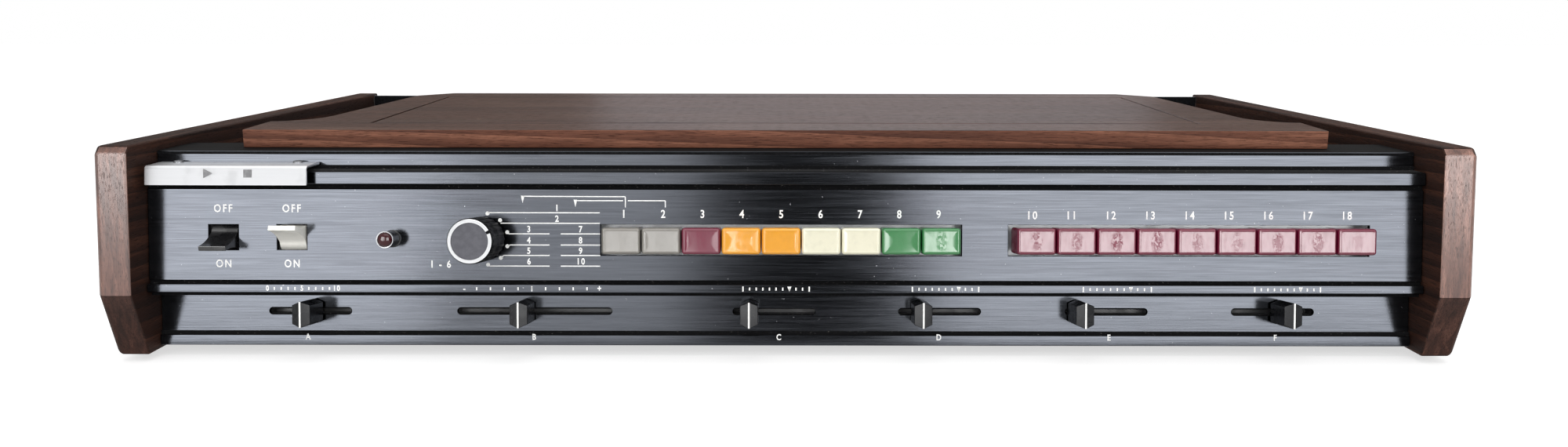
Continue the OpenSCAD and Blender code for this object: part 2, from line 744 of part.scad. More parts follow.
// A push button: a cap with round edges, a shallow tray in its face and a stem into the bank
module button(row, i) {
    tray_inset = 1;
    tray_depth = 0.3;
    x = row_xs[row] + (i - (button_count + 1) / 2) * button_pitch;
    w = button_w / 2 - button_corner_r;
    h = button_h / 2 - button_corner_r;
    color(button_colours[row][i - 1]) on_panel() translate([x, 0, row_up]) {
        difference() {
            union() {
                span([-w, w], [-button_reach, cap_tail], [-button_h / 2, button_h / 2]);
                span([-button_w / 2, button_w / 2], [-button_reach, cap_tail], [-h, h]);
                for (sx = [-1, 1], sz = [-1, 1])
                    translate([sx * w, 0, sz * h]) bar_y(-button_reach, cap_tail, button_corner_r);
            }
            span([-button_w / 2 + tray_inset, button_w / 2 - tray_inset],
                 [-button_reach - eps, -button_reach + tray_depth],
                 [-button_h / 2 + tray_inset, button_h / 2 - tray_inset]);
        }
        span([-stem_w / 2, stem_w / 2], [cap_tail - eps, stem_end], [-stem_h / 2, stem_h / 2]);
    }
}

// Both banks of switch modules, on one long bracket that stands off the chassis
module button_banks() {
    leg = 5;
    module_w = button_pitch - 2;
    module_h = 14;
    ends = [row_xs[0] - row_slot_w / 2 - leg, row_xs[1] + row_slot_w / 2 + leg];
    color("#b9bbbd") on_panel() translate([0, 0, row_up]) difference() {
        union() {
            span(ends, [bank_front, bank_front + sheet_t], [-module_h / 2, module_h / 2]);
            for (foot = [ends[0], ends[1] - sheet_t])
                span([foot, foot + sheet_t], [web_back, bank_front + sheet_t], [-module_h / 2, module_h / 2]);
            for (x = row_xs, i = [1 : button_count])
                translate([x + (i - (button_count + 1) / 2) * button_pitch, 0, 0])
                    span([-module_w / 2, module_w / 2], [bank_front + sheet_t - eps, bank_front + bank_depth],
                         [-module_h / 2 + 1, module_h / 2 - 1]);
        }
        for (x = row_xs, i = [1 : button_count])
            translate([x + (i - (button_count + 1) / 2) * button_pitch, 0, 0])
                span([-stem_w / 2 - slide_gap, stem_w / 2 + slide_gap],
                     [bank_front - eps, stem_end + button_travel + 1],
                     [-stem_h / 2 - slide_gap, stem_h / 2 + slide_gap]);
    }
}

// A slider: a cap with a front ridge and a pointed top and foot, on a flat lever
module slider(i) {
    ridge = 1.3;
    front = lower_back - cap_reach;
    back = lower_back - cap_lift;
    color("#101012") on_panel() translate([slide_x[i] + slide_set[i], 0, slot_up]) {
        intersection() {
            translate([0, front, 0]) rotate([-90, 0, 0]) linear_extrude(back - front) polygon([
                [0, cap_h / 2], [cap_w / 2, cap_side_h / 2], [cap_w / 2, -cap_side_h / 2],
                [0, -cap_h / 2], [-cap_w / 2, -cap_side_h / 2], [-cap_w / 2, cap_side_h / 2]]);
            translate([0, 0, -cap_h / 2]) linear_extrude(cap_h) polygon([
                [0, front], [cap_w / 2, front + ridge], [cap_w / 2, back],
                [-cap_w / 2, back], [-cap_w / 2, front + ridge]]);
        }
        span([-lever_w / 2, lever_w / 2], [back - eps, lower_rear + lever_in], [-lever_t / 2, lever_t / 2]);
    }
}

module slide_pots() {
    plate_t = 1;
    color("#a3a5a8") on_panel() for (i = [0 : len(slide_x) - 1]) translate([slide_x[i], 0, slot_up]) {
        room = slide_travel[i] + lever_w + 2 * slot_play;
        body = room + 2 * pot_end;
        difference() {
            union() {
                span([-body / 2 - pot_ear, body / 2 + pot_ear], [lower_rear, lower_rear + plate_t],
                     [-pot_h / 2 + 1, pot_h / 2 - 1]);
                span([-body / 2, body / 2], [lower_rear, lower_rear + pot_depth], [-pot_h / 2, pot_h / 2]);
            }
            span([-room / 2, room / 2], [lower_rear - eps, lower_rear + lever_in + 1],
                 [-lever_t / 2 - slide_gap, lever_t / 2 + slide_gap]);
        }
    }
}

// The knob turns on its own shaft, which reaches back through the panel into the switch
module variation_knob() {
    flutes = 24;
    flute_r = 0.7;
    nut_room_r = nut_r + 0.6;
    color("#1c1c1e") on_panel() translate([knob_x, 0, knob_up]) {
        difference() {
            bar_y(-knob_reach, -knob_lift, knob_d / 2);
            bar_y(-nut_t - 1, 0, nut_room_r);
            for (i = [0 : flutes - 1]) rotate([0, i * 360 / flutes, 0])
                translate([knob_d / 2 + flute_r * 0.4, 0, 0]) bar_y(-knob_reach + 2.5, 0, flute_r);
            rotate([0, -26, 0])
                span([knob_d / 2 - 2, knob_d / 2 + 1], [-knob_reach - eps, -knob_reach + 0.4], [-0.5, 0.5]);
        }
        bar_y(-knob_reach + 6, web_back + 12, shaft_r);
    }
}

module rotary_switch() {
    wafer_r = 13;
    color("#b59b6a") on_panel() translate([knob_x, 0, knob_up]) difference() {
        union() {
            bar_y(-nut_t - 0.6, web_back + 1, bush_r);
            translate([0, -nut_t, 0]) rotate([-90, 0, 0]) cylinder(h = nut_t, r = nut_r, $fn = 6);
            bar_y(web_back, web_back + 2, wafer_r);
            bar_y(web_back + 7, web_back + 9, wafer_r);
            bar_y(web_back + 14, web_back + 16, wafer_r);
            for (side = [-1, 1])
                translate([side * (wafer_r - 3), 0, 0]) bar_y(web_back + 1, web_back + 15, 1.5);
        }
        bar_y(-nut_t - 1, web_back + 13, shaft_r + run_gap);
    }
}

// A thrown switch lever: a drum with a lip, joined by hollow curves above and below the lip
module paddle(x, throw) {
    lip_t = 2;
    lip_end = paddle_pivot + 10.4;
    curve_r = 4.5;
    root_h = lip_t / 2 + curve_r;
    root_in = 0.5;                                  // the curves end inside the drum
    root = sqrt(drum_r * drum_r - root_h * root_h) - root_in;
    on_panel() translate([x, paddle_pivot, paddle_up]) rotate([throw, 0, 0]) {
        across(paddle_w) {
            circle(drum_r);
            translate([-lip_end, -lip_t / 2]) square([lip_end, lip_t]);
            difference() {
                translate([-root - curve_r, -root_h]) square([root + curve_r, 2 * root_h]);
                for (side = [-1, 1])
                    translate([-root - curve_r, side * root_h]) circle(curve_r);
            }
        }
        bar_x(-paddle_w / 2 - 1.5, paddle_w / 2 + 1.5, paddle_pin_r);
    }
}

module power_paddle() {
    color("#161617") paddle(paddle_xs[0], paddle_throw);
}

module mute_paddle() {
    color("#dcdad2") paddle(paddle_xs[1], -paddle_throw);
}

// A box round each lever's drum, open to the front, its side walls pierced for the lever's pins
module paddle_switches() {
    room_rear = paddle_pivot + drum_r + 0.6;
    outer_w = switch_room_w + 2 * (switch_wall + 1);
    outer_h = switch_room_h + 2 * switch_wall;
    color("#3a3a3c") on_panel() for (x = paddle_xs) translate([x, 0, paddle_up]) difference() {
        span([-outer_w / 2, outer_w / 2], [web_back, room_rear + 6], [-outer_h / 2, outer_h / 2]);
        span([-switch_room_w / 2, switch_room_w / 2], [web_back - eps, room_rear],
             [-switch_room_h / 2, switch_room_h / 2]);
        translate([0, paddle_pivot, 0])
            bar_x(-outer_w / 2 - eps, outer_w / 2 + eps, paddle_pin_r + run_gap);
    }
}

module lamp_bezel() {
    seat = 2;
    color("#c9cacc") on_panel() translate([lamp_x, 0, knob_up]) difference() {
        union() {
            bar_y(-lamp_reach, -lamp_reach + 1, lamp_r);
            bar_y(-lamp_reach + 0.5, -0.5, lamp_r - 0.3);
            bar_y(-1, 0, lamp_r);
            bar_y(-eps, web_back + 10, lamp_thread_r);
            translate([0, web_back, 0]) rotate([-90, 0, 0]) cylinder(h = 2.5, r = lamp_r + 1.6, $fn = 6);
        }
        bar_y(-lamp_reach - eps, -lamp_reach + seat, lens_r + run_gap);
    }
}

module lamp_lens() {
    seat = 2;
    dome = 1.6;
    dome_r = (lens_r * lens_r + dome * dome) / (2 * dome);
    color("#5a0d16") on_panel() translate([lamp_x, 0, knob_up]) {
        bar_y(-lamp_reach + 0.2, -lamp_reach + seat, lens_r);
        intersection() {
            translate([0, -lamp_reach + 0.2 - dome + dome_r, 0]) sphere(dome_r);
            bar_y(-lamp_reach - dome - eps, -lamp_reach + 0.2 + eps, lens_r);
        }
    }
}

// A bent bar on two plungers, which slide through the ledge
module start_bar() {
    face_y = at_y(-start_bar_reach, start_bar_foot);
    face_z = at_z(-start_bar_reach, start_bar_foot);
    brow_y = face_y + (start_bar_top - face_z) * tan(lean);
    bar_rear = riser_y - slide_gap;
    color("#d9dadb") {
        across(start_bar_w, start_bar_x) polygon([
            [face_y, face_z],
            [brow_y, start_bar_top],
            [bar_rear, start_bar_top],
            [bar_rear, start_bar_top - start_bar_t],
            [brow_y + start_bar_t, start_bar_top - start_bar_t],
            [face_y + start_bar_t, face_z]]);
        for (x = plunger_xs) translate([x, plunger_y, 0]) {
            translate([0, 0, start_bar_top - start_bar_t - plunger_len])
                cylinder(h = plunger_len + eps, r = plunger_r);
            translate([0, 0, start_bar_top - eps]) cylinder(h = 0.8 + eps, r = 2);
        }
    }
}

// The switch under the left plunger, on the chassis
module start_switch() {
    body_h = 12;
    foot = switch_top - body_h;
    color("#2c2c30")
        across(10, plunger_xs[0]) polygon([
            [at_y(web_back, up_at(web_back, foot)), foot],
            [at_y(web_back, up_at(web_back, switch_top)), switch_top],
            [plunger_y + 5, switch_top],
            [plunger_y + 5, foot]]);
}

// ---- inside ----------------------------------------------------------------------------

module circuit_board() {
    color("#7d5a2c") difference() {
        span([board_x - board_w / 2, board_x + board_w / 2], [board_y, board_y + board_d],
             [board_z, board_z + board_t]);
        for (x = standoff_xs, y = standoff_ys)
            translate([x, y, board_z - eps]) cylinder(h = board_t + 2 * eps, r = screw_r + screw_gap);
    }
}

// Capacitors in cans, resistors and transistors in rows on the board
module circuit_components() {
    top = board_z + board_t;
    can_r = 5;
    resistor_t = 2.4;
    color("#3d5f8a") for (i = [1 : 7], j = [1, 3])
        translate([board_x + (i - 4) * board_w / 8, board_y + j * board_d / 5, top])
            cylinder(h = 3 * can_r, r = can_r);
    color("#b08a5a") for (i = [1 : 10], j = [-1 : 1])
        translate([board_x + (i - 5.5) * board_w / 11, board_y + board_d * 2 / 5 + j * board_d / 14, top])
            span([0, 3 * resistor_t], [0, resistor_t], [0, resistor_t]);
    color("#1d1d1f") for (i = [1 : 8])
        translate([board_x + (i - 4.5) * board_w / 9, board_y + board_d * 5 / 6, top])
            cylinder(h = 2 * resistor_t, r = resistor_t);
}

module power_transformer() {
    coil_z = base_top + (core_h - coil_h) / 2;
    color("#55575a") translate([transformer_x, back_in - transformer_back, 0]) {
        span([-core_w / 2, core_w / 2], [-core_d / 2, core_d / 2], [base_top, base_top + core_h]);
        span([-coil_w / 2, coil_w / 2], [-coil_d / 2, coil_d / 2], [coil_z, coil_z + coil_h]);
        span([-core_w / 2 - core_tab, core_w / 2 + core_tab], [-core_d / 4, core_d / 4],
             [base_top, base_top + sheet_t]);
    }
}

// Three jack sockets: a body inside, a threaded collar and a nut outside
module output_jacks() {
    collar_r = jack_r + jack_wall;
    color("#9b9da0") for (x = jack_xs) translate([x, 0, jack_z]) difference() {
        union() {
            span([-jack_body / 2, jack_body / 2], [back_in - jack_depth, back_in], [-jack_body / 2, jack_body / 2]);
            bar_y(back_in - eps, back_out + jack_reach, collar_r);
            translate([0, back_out, 0]) rotate([-90, 0, 0]) cylinder(h = nut_t, r = collar_r + 2, $fn = 6);
        }
        bar_y(back_in - jack_depth + 2, back_out + jack_reach + eps, jack_r);
    }
}

module cable_gland() {
    collar_r = gland_r + 2;
    color("#161617") translate([gland_x, 0, jack_z]) difference() {
        union() {
            bar_y(back_in - 8, back_out + 4.5, collar_r);
            bar_y(back_out, back_out + 2, collar_r + 2.5);
            translate([0, back_in - 4, 0]) rotate([-90, 0, 0]) cylinder(h = 4, r = collar_r + 2.5, $fn = 6);
        }
        bar_y(back_in - 8 - eps, back_out + 4.5 + eps, gland_r);
    }
}

// ---- the pieces, one node each ----------------------------------------------------------

left_cheek();
right_cheek();
base_plate();
rear_panel();
top_cover();
cheek_brackets();
rubber_feet();
fasteners();
front_chassis();
front_panel();
lower_panel();
top_rail();
middle_rail();
tick_rail();
bottom_rail();
felt_strips();
lid_frame();
lid_battens();
music_rest();
rest_prop();
start_bar();
start_switch();
power_paddle();
mute_paddle();
paddle_switches();
variation_knob();
rotary_switch();
lamp_bezel();
lamp_lens();
button_banks();
slide_pots();
circuit_board();
circuit_components();
power_transformer();
output_jacks();
cable_gland();
for (i = [1 : button_count])
    button(0, i);
for (i = [1 : button_count])
    button(1, i);
for (i = [1 : 6])
    slider(i - 1);
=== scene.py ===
# %% [markdown]
# # A drum machine in walnut and brushed aluminium
#
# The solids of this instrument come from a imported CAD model. This lesson dresses them: it gives each
# visible piece its real edges and finish, adds the print and the small fittings, and lights the whole for
# a photograph. Every length below is typed in millimetres and turned into Blender's metres by one factor.

# %% Load the frame
import json
import math

import bmesh
import bpy
from mathutils import Matrix, Vector


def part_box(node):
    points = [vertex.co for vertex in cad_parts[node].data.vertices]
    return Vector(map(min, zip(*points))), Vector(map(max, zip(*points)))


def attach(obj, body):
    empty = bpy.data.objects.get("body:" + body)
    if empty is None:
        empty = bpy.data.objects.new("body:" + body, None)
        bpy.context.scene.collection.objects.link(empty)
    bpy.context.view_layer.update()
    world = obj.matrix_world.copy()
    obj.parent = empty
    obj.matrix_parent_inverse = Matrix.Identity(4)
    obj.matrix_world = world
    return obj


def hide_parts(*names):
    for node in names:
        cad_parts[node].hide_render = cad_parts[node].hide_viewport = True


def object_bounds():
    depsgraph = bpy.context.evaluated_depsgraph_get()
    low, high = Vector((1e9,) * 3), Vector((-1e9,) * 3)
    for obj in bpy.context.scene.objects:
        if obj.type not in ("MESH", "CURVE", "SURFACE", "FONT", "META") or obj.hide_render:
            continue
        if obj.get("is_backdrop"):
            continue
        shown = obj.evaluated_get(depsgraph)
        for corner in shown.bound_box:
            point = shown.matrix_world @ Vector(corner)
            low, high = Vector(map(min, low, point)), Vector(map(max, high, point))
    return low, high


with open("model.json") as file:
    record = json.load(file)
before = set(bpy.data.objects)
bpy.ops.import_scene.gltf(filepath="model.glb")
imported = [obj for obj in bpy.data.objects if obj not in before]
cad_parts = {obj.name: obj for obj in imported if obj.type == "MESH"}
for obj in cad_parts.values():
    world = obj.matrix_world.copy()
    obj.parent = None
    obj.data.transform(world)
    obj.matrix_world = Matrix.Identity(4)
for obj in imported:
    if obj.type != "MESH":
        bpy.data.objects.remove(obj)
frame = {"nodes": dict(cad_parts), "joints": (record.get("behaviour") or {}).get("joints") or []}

cad_box = [list(corner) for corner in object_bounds()]
MM = 0.001

# %% [markdown]
# ## Places on the leaning front
#
# The front leans back by a few degrees, so its pieces are easiest to place in a frame of their own: x
# across, depth behind the main panel's face, and up along that face. The knob's joint carries the panel's
# outward direction and a point on its face, so the frame is taken from there and not typed twice.

# %% The front's own frame
KNOB_UP = 16.9
knob_joint = next(joint for joint in frame["joints"] if joint["name"] == "knob_turn")
outward = Vector(knob_joint["axis"]).normalized()
upward = Vector((0, outward.z, -outward.y))
panel_foot = Vector(knob_joint["pos_m"]) - upward * KNOB_UP * MM
panel_foot.x = 0
LEAN = math.atan2(outward.z, -outward.y)


def on_front(x, depth, up):
    """A point given across, behind and up the main panel's face, in millimetres."""
    return Vector((x * MM, 0, 0)) + panel_foot + (upward * up - outward * depth) * MM


def middle_x(node):
    """Where a node's middle lies across the case, in millimetres."""
    low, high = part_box(node)
    return (low.x + high.x) / 2 / MM


print("the front leans back", round(math.degrees(LEAN), 2), "degrees")

# %% [markdown]
# ## Camera
#
# The photograph's camera was found by fitting measured points of the front, the cheeks and the lid. It
# stands a little above the instrument and half a metre in front of it, with a wide lens, so the front is
# nearly flat on while the lid is seen at a grazing angle.

# %% Camera
EYE = Vector((-0.9, -591.2, 142.4)) * MM
PITCH, YAW, ROLL = 10.498, -0.028, 0.091
LENS_MM, SENSOR_MM = 26.64, 36
view = bpy.data.cameras.new("photo_view")
view.sensor_width, view.lens = SENSOR_MM, LENS_MM
camera = bpy.data.objects.new("photo_view", view)
bpy.context.scene.collection.objects.link(camera)
camera.matrix_world = (
    Matrix.Translation(EYE)
    @ Matrix.Rotation(math.radians(YAW), 4, "Z")
    @ Matrix.Rotation(math.radians(90 - PITCH), 4, "X")
    @ Matrix.Rotation(math.radians(ROLL), 4, "Z")
)
bpy.context.scene.camera = camera
print("camera at", tuple(round(part / MM) for part in EYE), "mm")

# %% [markdown]
# ## A small language for finishes
#
# Shader nodes are easier to read as sums. `Wire` stands for the value that leaves a node, and its
# operators add Math nodes. `Finish` owns one material: its `node` method makes any node, sets its
# settings first and then fills or links its sockets.


# %% Wire and Finish
class Wire:
    """A value inside a finish that can be reckoned with."""

    def __init__(self, finish, socket):
        self.finish, self.socket = finish, socket

    def sum(self, operation, first, second):
        return self.finish.node("ShaderNodeMath", {"operation": operation}, {0: first, 1: second})

    def __add__(self, other):
        return self.sum("ADD", self, other)

    def __radd__(self, other):
        return self.sum("ADD", other, self)

    def __sub__(self, other):
        return self.sum("SUBTRACT", self, other)

    def __rsub__(self, other):
        return self.sum("SUBTRACT", other, self)

    def __mul__(self, other):
        return self.sum("MULTIPLY", self, other)

    def __rmul__(self, other):
        return self.sum("MULTIPLY", other, self)


def paint(red, green, blue):
    """A screen colour from 0 to 255 as the linear colour that a shader takes."""
    shares = [level / 255 for level in (red, green, blue)]
    linear = [s / 12.92 if s <= 0.04045 else ((s + 0.055) / 1.055) ** 2.4 for s in shares]
    return (*linear, 1)


def scaled(colour, factor):
    """A linear colour made lighter or darker."""
    return (*(min(1, part * factor) for part in colour[:3]), 1)


class Finish:
    """One material, built on the Principled shader."""

    def __init__(self, name, **constants):
        self.material = bpy.data.materials.new(name)
        self.material.use_nodes = True
        self.tree = self.material.node_tree
        self.skin = next(node for node in self.tree.nodes if node.type == "BSDF_PRINCIPLED")
        for socket, value in constants.items():
            self.skin.inputs[socket.replace("_", " ")].default_value = value
        texture = self.tree.nodes.new("ShaderNodeTexCoord")
        self.place = Wire(self, texture.outputs["Object"])
        self.facing = Wire(self, texture.outputs["Normal"])

    def node(self, kind, settings=(), sockets=(), out=0):
        """Any node: its settings first, then the values or links of its sockets."""
        made = self.tree.nodes.new(kind)
        for name, value in dict(settings).items():
            if name == "stops":
                ramp = made.color_ramp
                while len(ramp.elements) < len(value):
                    ramp.elements.new(1)
                for element, (place, colour) in zip(ramp.elements, value):
                    element.position, element.color = place, colour
            else:
                setattr(made, name, value)
        for key, value in dict(sockets).items():
            if isinstance(value, Wire):
                self.tree.links.new(value.socket, made.inputs[key])
            else:
                made.inputs[key].default_value = value
        return Wire(self, made.outputs[out])

    def mapped(self, per_mm, shift=(0, 0, 0)):
        """Object space with its own number of units per millimetre along x, y and z."""
        scale = [unit / MM for unit in per_mm]
        sockets = {"Vector": self.place, "Scale": scale, "Location": shift}
        return self.node("ShaderNodeMapping", {}, sockets)

    def noise(self, per_mm, detail=2.0, shift=(0, 0, 0), bend=0.0, rough=0.5):
        """Noise with its own number of waves per millimetre along x, y and z."""
        sockets = {"Vector": self.mapped(per_mm, shift), "Scale": 1.0, "Detail": detail}
        sockets |= {"Distortion": bend, "Roughness": rough}
        return self.node("ShaderNodeTexNoise", {}, sockets)

    def step(self, value, low, high):
        """A soft step from 0 to 1 between two values, or down when the first is the higher."""
        sockets = {"Value": value, "From Min": low, "From Max": high}
        return self.node("ShaderNodeMapRange", {"interpolation_type": "SMOOTHSTEP"}, sockets)

    def mix(self, share, first, second):
        sockets = {0: share, 6: first, 7: second}
        return self.node("ShaderNodeMix", {"data_type": "RGBA"}, sockets, 2)

    def ramp(self, value, stops):
        return self.node("ShaderNodeValToRGB", {"stops": stops}, {0: value})

    def part(self, vector, axis):
        return self.node("ShaderNodeSeparateXYZ", {}, {0: vector}, axis)

    def wear(self, **wires):
        """Links wires to the skin's sockets: Base_Color=..., Roughness=..."""
        for socket, wire in wires.items():
            self.tree.links.new(wire.socket, self.skin.inputs[socket.replace("_", " ")])

    def bump(self, height, depth_mm, strength=1.0):
        sockets = {"Height": height, "Distance": depth_mm * MM, "Strength": strength}
        self.wear(Normal=self.node("ShaderNodeBump", {}, sockets))


print("finish tools ready")

# %% [markdown]
# ## Brushed and anodised aluminium
#
# The panels and rails are aluminium, brushed along their length and dyed black. The dye leaves a dark
# metal whose fine lines run left to right and catch the light in streaks. The streaks are noise stretched
# along x, at three sizes: hair lines, threads that are a little wider, and long soft bands. Colour alone
# would look printed, so the hairs and the threads also feed Bump, which breaks up what the metal mirrors.
# A little dust lies on top.


# %% Anodised aluminium
def anodised(name, colour, rough=0.13, black_top=False):
    """Dyed and brushed metal. On a rail the faces that look up are dull black instead."""
    finish = Finish(name, Metallic=1.0, Specular_IOR_Level=0.05)
    hairs = finish.noise((0.03, 2.6, 3.4), 3, rough=0.7)
    bands = finish.noise((0.012, 0.35, 0.5), 2, (7, 3, 1))
    threads = finish.noise((0.03, 1.4, 2.1), 3, (2, 6, 4), rough=0.8)
    dust = finish.step(finish.noise((0.9, 0.9, 0.9), 2, (5, 5, 5)), 0.74, 0.8)
    lines = finish.step(hairs * 0.5 + threads * 0.5, 0.36, 0.66)
    tone = finish.mix(lines * 0.6 + bands * 0.2, colour, scaled(colour, 2.1))
    tone = finish.mix(dust * 0.35, tone, paint(150, 150, 152))
    roughness = rough + lines * 0.05 - bands * 0.03 + dust * 0.3
    if black_top:
        top = finish.step(finish.part(finish.facing, 2), 0.9, 0.97)
        tone, roughness = finish.mix(top, tone, paint(14, 14, 15)), roughness + top * 0.5
        finish.wear(Metallic=1 - top)
    finish.wear(Base_Color=tone, Roughness=roughness)
    finish.bump(hairs + threads * 0.9, 0.012, 0.7)
    return finish


BLACK_DYE, REAR_DYE = paint(40.5, 42, 45.2), paint(96, 100, 106)
panel_metal = anodised("anodised_panel", BLACK_DYE)
rail_metal = anodised("anodised_rail", BLACK_DYE, black_top=True)
rear_metal = anodised("anodised_rear", REAR_DYE, rough=0.38)
print("anodised finishes:", panel_metal.material.name, rail_metal.material.name, rear_metal.material.name)

# %% [markdown]
# ## Walnut
#
# The cheeks and the lid are covered in walnut veneer. Walnut shows four things at four sizes: broad clouds of
# brown that wander along the board, growth lines a few millimetres apart, a fine fibre, and open pores, short
# dark dashes. The growth lines are a Wave texture whose distortion bends them, and the rest is noise
# stretched along the grain. The strip on the front of a cheek has upright grain and a glossier face, and its
# walnut is painted much paler than the sides' as painted light. The slanting toe below it is painted darker
# than the front and paler than the sides, as painted light and shade for a face that looks down, so each has
# a finish of its own. So has the lid's front edge, which is redder than its top.


# %% Walnut
def walnut(name, axis, tones, rough=0.42, shine=0.25, wear=0.0, shift=0, bend=9.0, figure=0.2):
    """Walnut with its grain along one axis. The tones run from dark to light."""
    finish = Finish(name, Specular_IOR_Level=shine)

    def stretched(along, across):
        return [along if i == axis else across for i in range(3)]

    def grain(along, across, **more):
        return finish.noise(stretched(along, across), **more)

    clouds = grain(0.004, 0.06, detail=4, bend=1.1, shift=(shift, 2, 1))
    flames = grain(0.012, 0.45, detail=3, bend=0.5, shift=(3, shift, 2))
    wave = {"Vector": finish.mapped(stretched(0.004, 0.105), (shift, 1, 2)), "Scale": 1.0, "Distortion": bend}
    wave |= {"Detail": 2.0, "Detail Scale": 0.35, "Detail Roughness": 0.5}
    bands = {"bands_direction": "DIAGONAL", "wave_profile": "SAW"}
    growth = finish.node("ShaderNodeTexWave", bands, wave, 1)
    fibre = grain(0.09, 2.4, detail=3, rough=0.7, shift=(1, shift, 4))
    pores = finish.step(grain(0.2, 3.4, detail=2, shift=(shift, 6, 2)), 0.57, 0.66)
    dark, middle, light = tones
    value = clouds * 0.5 + flames * (0.5 - figure) + growth * figure
    colour = finish.ramp(value, [(0.36, dark), (0.5, middle), (0.63, light)])
    colour = finish.mix(finish.step(fibre, 0.35, 0.7) * 0.6, colour, dark)
    colour = finish.mix(pores * 0.6, colour, scaled(dark, 0.35))
    if wear:
        rubbed = finish.step(grain(0.012, 0.05, detail=3, shift=(2, 9, 4)), 0.46, 0.7)
        colour = finish.mix(rubbed * wear, colour, paint(124, 104, 92))
        chips = finish.step(finish.noise((0.3, 0.45, 0.35), 3, (8, 1, 3)), 0.73, 0.76)
        colour = finish.mix(chips * 0.6, colour, paint(172, 146, 130))
    finish.wear(Base_Color=colour, Roughness=rough + pores * 0.25 + fibre * 0.12)
    finish.bump(fibre * 0.3 - pores, 0.04, 0.6)
    return finish


CHEEK_TONES = [paint(31, 17, 12), paint(49, 28, 20), paint(76, 47, 35)]
# painted light and shade: the front tones are the sides' walnut painted paler, the toe tones painted between
# front and sides
FRONT_PAINTED_LIGHT_TONES = [paint(70, 42, 33), paint(122, 82, 68), paint(168, 122, 106)]
TOE_PAINTED_LIGHTING_TONES = [paint(40, 24, 19), paint(68, 43, 35), paint(100, 68, 57)]
LID_TONES = [paint(40, 23, 18), paint(63, 40, 32), paint(94, 64, 52)]
EDGE_TONES = [paint(74, 41, 29), paint(112, 68, 50), paint(148, 98, 76)]
X, Y, Z = range(3)
UPRIGHT = {"axis": Z, "shift": 9, "bend": 3.0, "figure": 0.06}
cheek_wood = walnut("walnut_cheek", Y, CHEEK_TONES, rough=0.5, shine=0.12)
cheek_front_painted_light_wood = walnut("walnut_cheek_front_painted_light", tones=FRONT_PAINTED_LIGHT_TONES, rough=0.3, shine=0.55, **UPRIGHT)
cheek_toe_painted_lighting_wood = walnut("walnut_cheek_toe_painted_lighting", tones=TOE_PAINTED_LIGHTING_TONES, rough=0.5, shine=0.1, **UPRIGHT)
lid_wood = walnut("walnut_lid", X, LID_TONES, rough=0.3, shine=0.2, wear=0.12)
lid_edge_wood = walnut("walnut_lid_edge", X, EDGE_TONES, rough=0.4, shine=0.3, shift=5)
print("walnut finishes:", cheek_wood.material.name, lid_wood.material.name)

# %% [markdown]
# ## Felt, plastics, bright metal and the hidden parts
#
# Felt is matt and flecked with dust, so its bump and its specks come from noise at the size of a fibre.
# The plastics are glossy with smudges that only change the roughness. Bright metal has a fine brushed
# line again. Inside parts get simple but not flat finishes of their own, because the flap opens and the
# slots let one look in.


# %% Felt and plastics
def felt_finish():
    finish = Finish("black_felt", Roughness=1.0, Sheen_Weight=0.06, Specular_IOR_Level=0.03)
    finish.skin.inputs["Sheen Roughness"].default_value = 0.6
    nap = finish.noise((1.7, 2.2, 2.2), 4, rough=0.7)
    lint = finish.step(finish.noise((1.1, 2.4, 2.4), 3, (4, 4, 4)), 0.63, 0.74)
    colour = finish.mix(nap, paint(5, 5, 6), paint(26, 26, 28))
    finish.wear(Base_Color=finish.mix(lint * 0.55, colour, paint(104, 102, 100)))
    finish.bump(nap, 0.35)
    return finish


def plastic(name, colour, rough, coat=0.0, smudge=0.2, dust=0.15, shine=0.5, ior=1.5):
    finish = Finish(name, Coat_Weight=coat, Coat_Roughness=0.08, Specular_IOR_Level=shine, IOR=ior)
    haze = finish.step(finish.noise((0.16, 0.16, 0.16), 4, rough=0.62), 0.42, 0.66)
    flecks = finish.step(finish.noise((1.6, 1.6, 1.6), 3, (3, 1, 7)), 0.68, 0.76)
    colour = finish.mix(haze * 0.5, colour, scaled(colour, 0.86))
    colour = finish.mix(flecks * dust, colour, paint(196, 190, 182))
    finish.wear(Base_Color=colour, Roughness=rough + haze * smudge)
    finish.bump(finish.noise((0.5, 0.5, 0.5), 3), 0.01, 0.5)
    return finish


felt = felt_finish()
black_plastic = plastic("black_plastic", paint(20, 20, 22), 0.24, coat=0.3)
knob_plastic = plastic("knob_plastic", paint(15, 15, 17), 0.35, dust=0.04, ior=1.16)
slider_plastic = plastic("slider_plastic", paint(20, 21, 24), 0.24, smudge=0.15, dust=0.08, shine=0.16)
dark_plastic = plastic("dark_plastic", paint(38, 38, 41), 0.45)
white_plastic = plastic("white_plastic", paint(246, 244, 236), 0.3, coat=0.3, dust=0.05)
rubber = plastic("rubber", paint(24, 24, 24), 0.75, smudge=0.15)
print("felt and plastics made")


# %% Bright metals and the rest
def bright_metal(name, colour, rough, lines, depth=0.004):
    finish = Finish(name, Metallic=1.0)
    hairs = finish.noise(lines, 2, rough=0.6)
    stain = finish.step(finish.noise((0.12, 0.12, 0.12), 3, (6, 2, 2)), 0.5, 0.75)
    colour = finish.mix(stain * 0.4 + hairs * 0.2, colour, scaled(colour, 0.7))
    finish.wear(Base_Color=colour, Roughness=rough + hairs * 0.12 + stain * 0.08)
    finish.bump(hairs, depth, 0.5)
    return finish


def flecked(name, colour, other, size, rough, metallic=0.0, shine=0.5):
    """Two colours in soft spots, with so many to the millimetre."""
    finish = Finish(name, Metallic=metallic, Specular_IOR_Level=shine)
    spots = finish.noise((size, size, size), 3)
    colour = finish.mix(finish.step(spots, 0.35, 0.65), colour, other)
    finish.wear(Base_Color=colour, Roughness=rough + spots * 0.2)
    finish.bump(spots, 0.02, 0.5)
    return finish


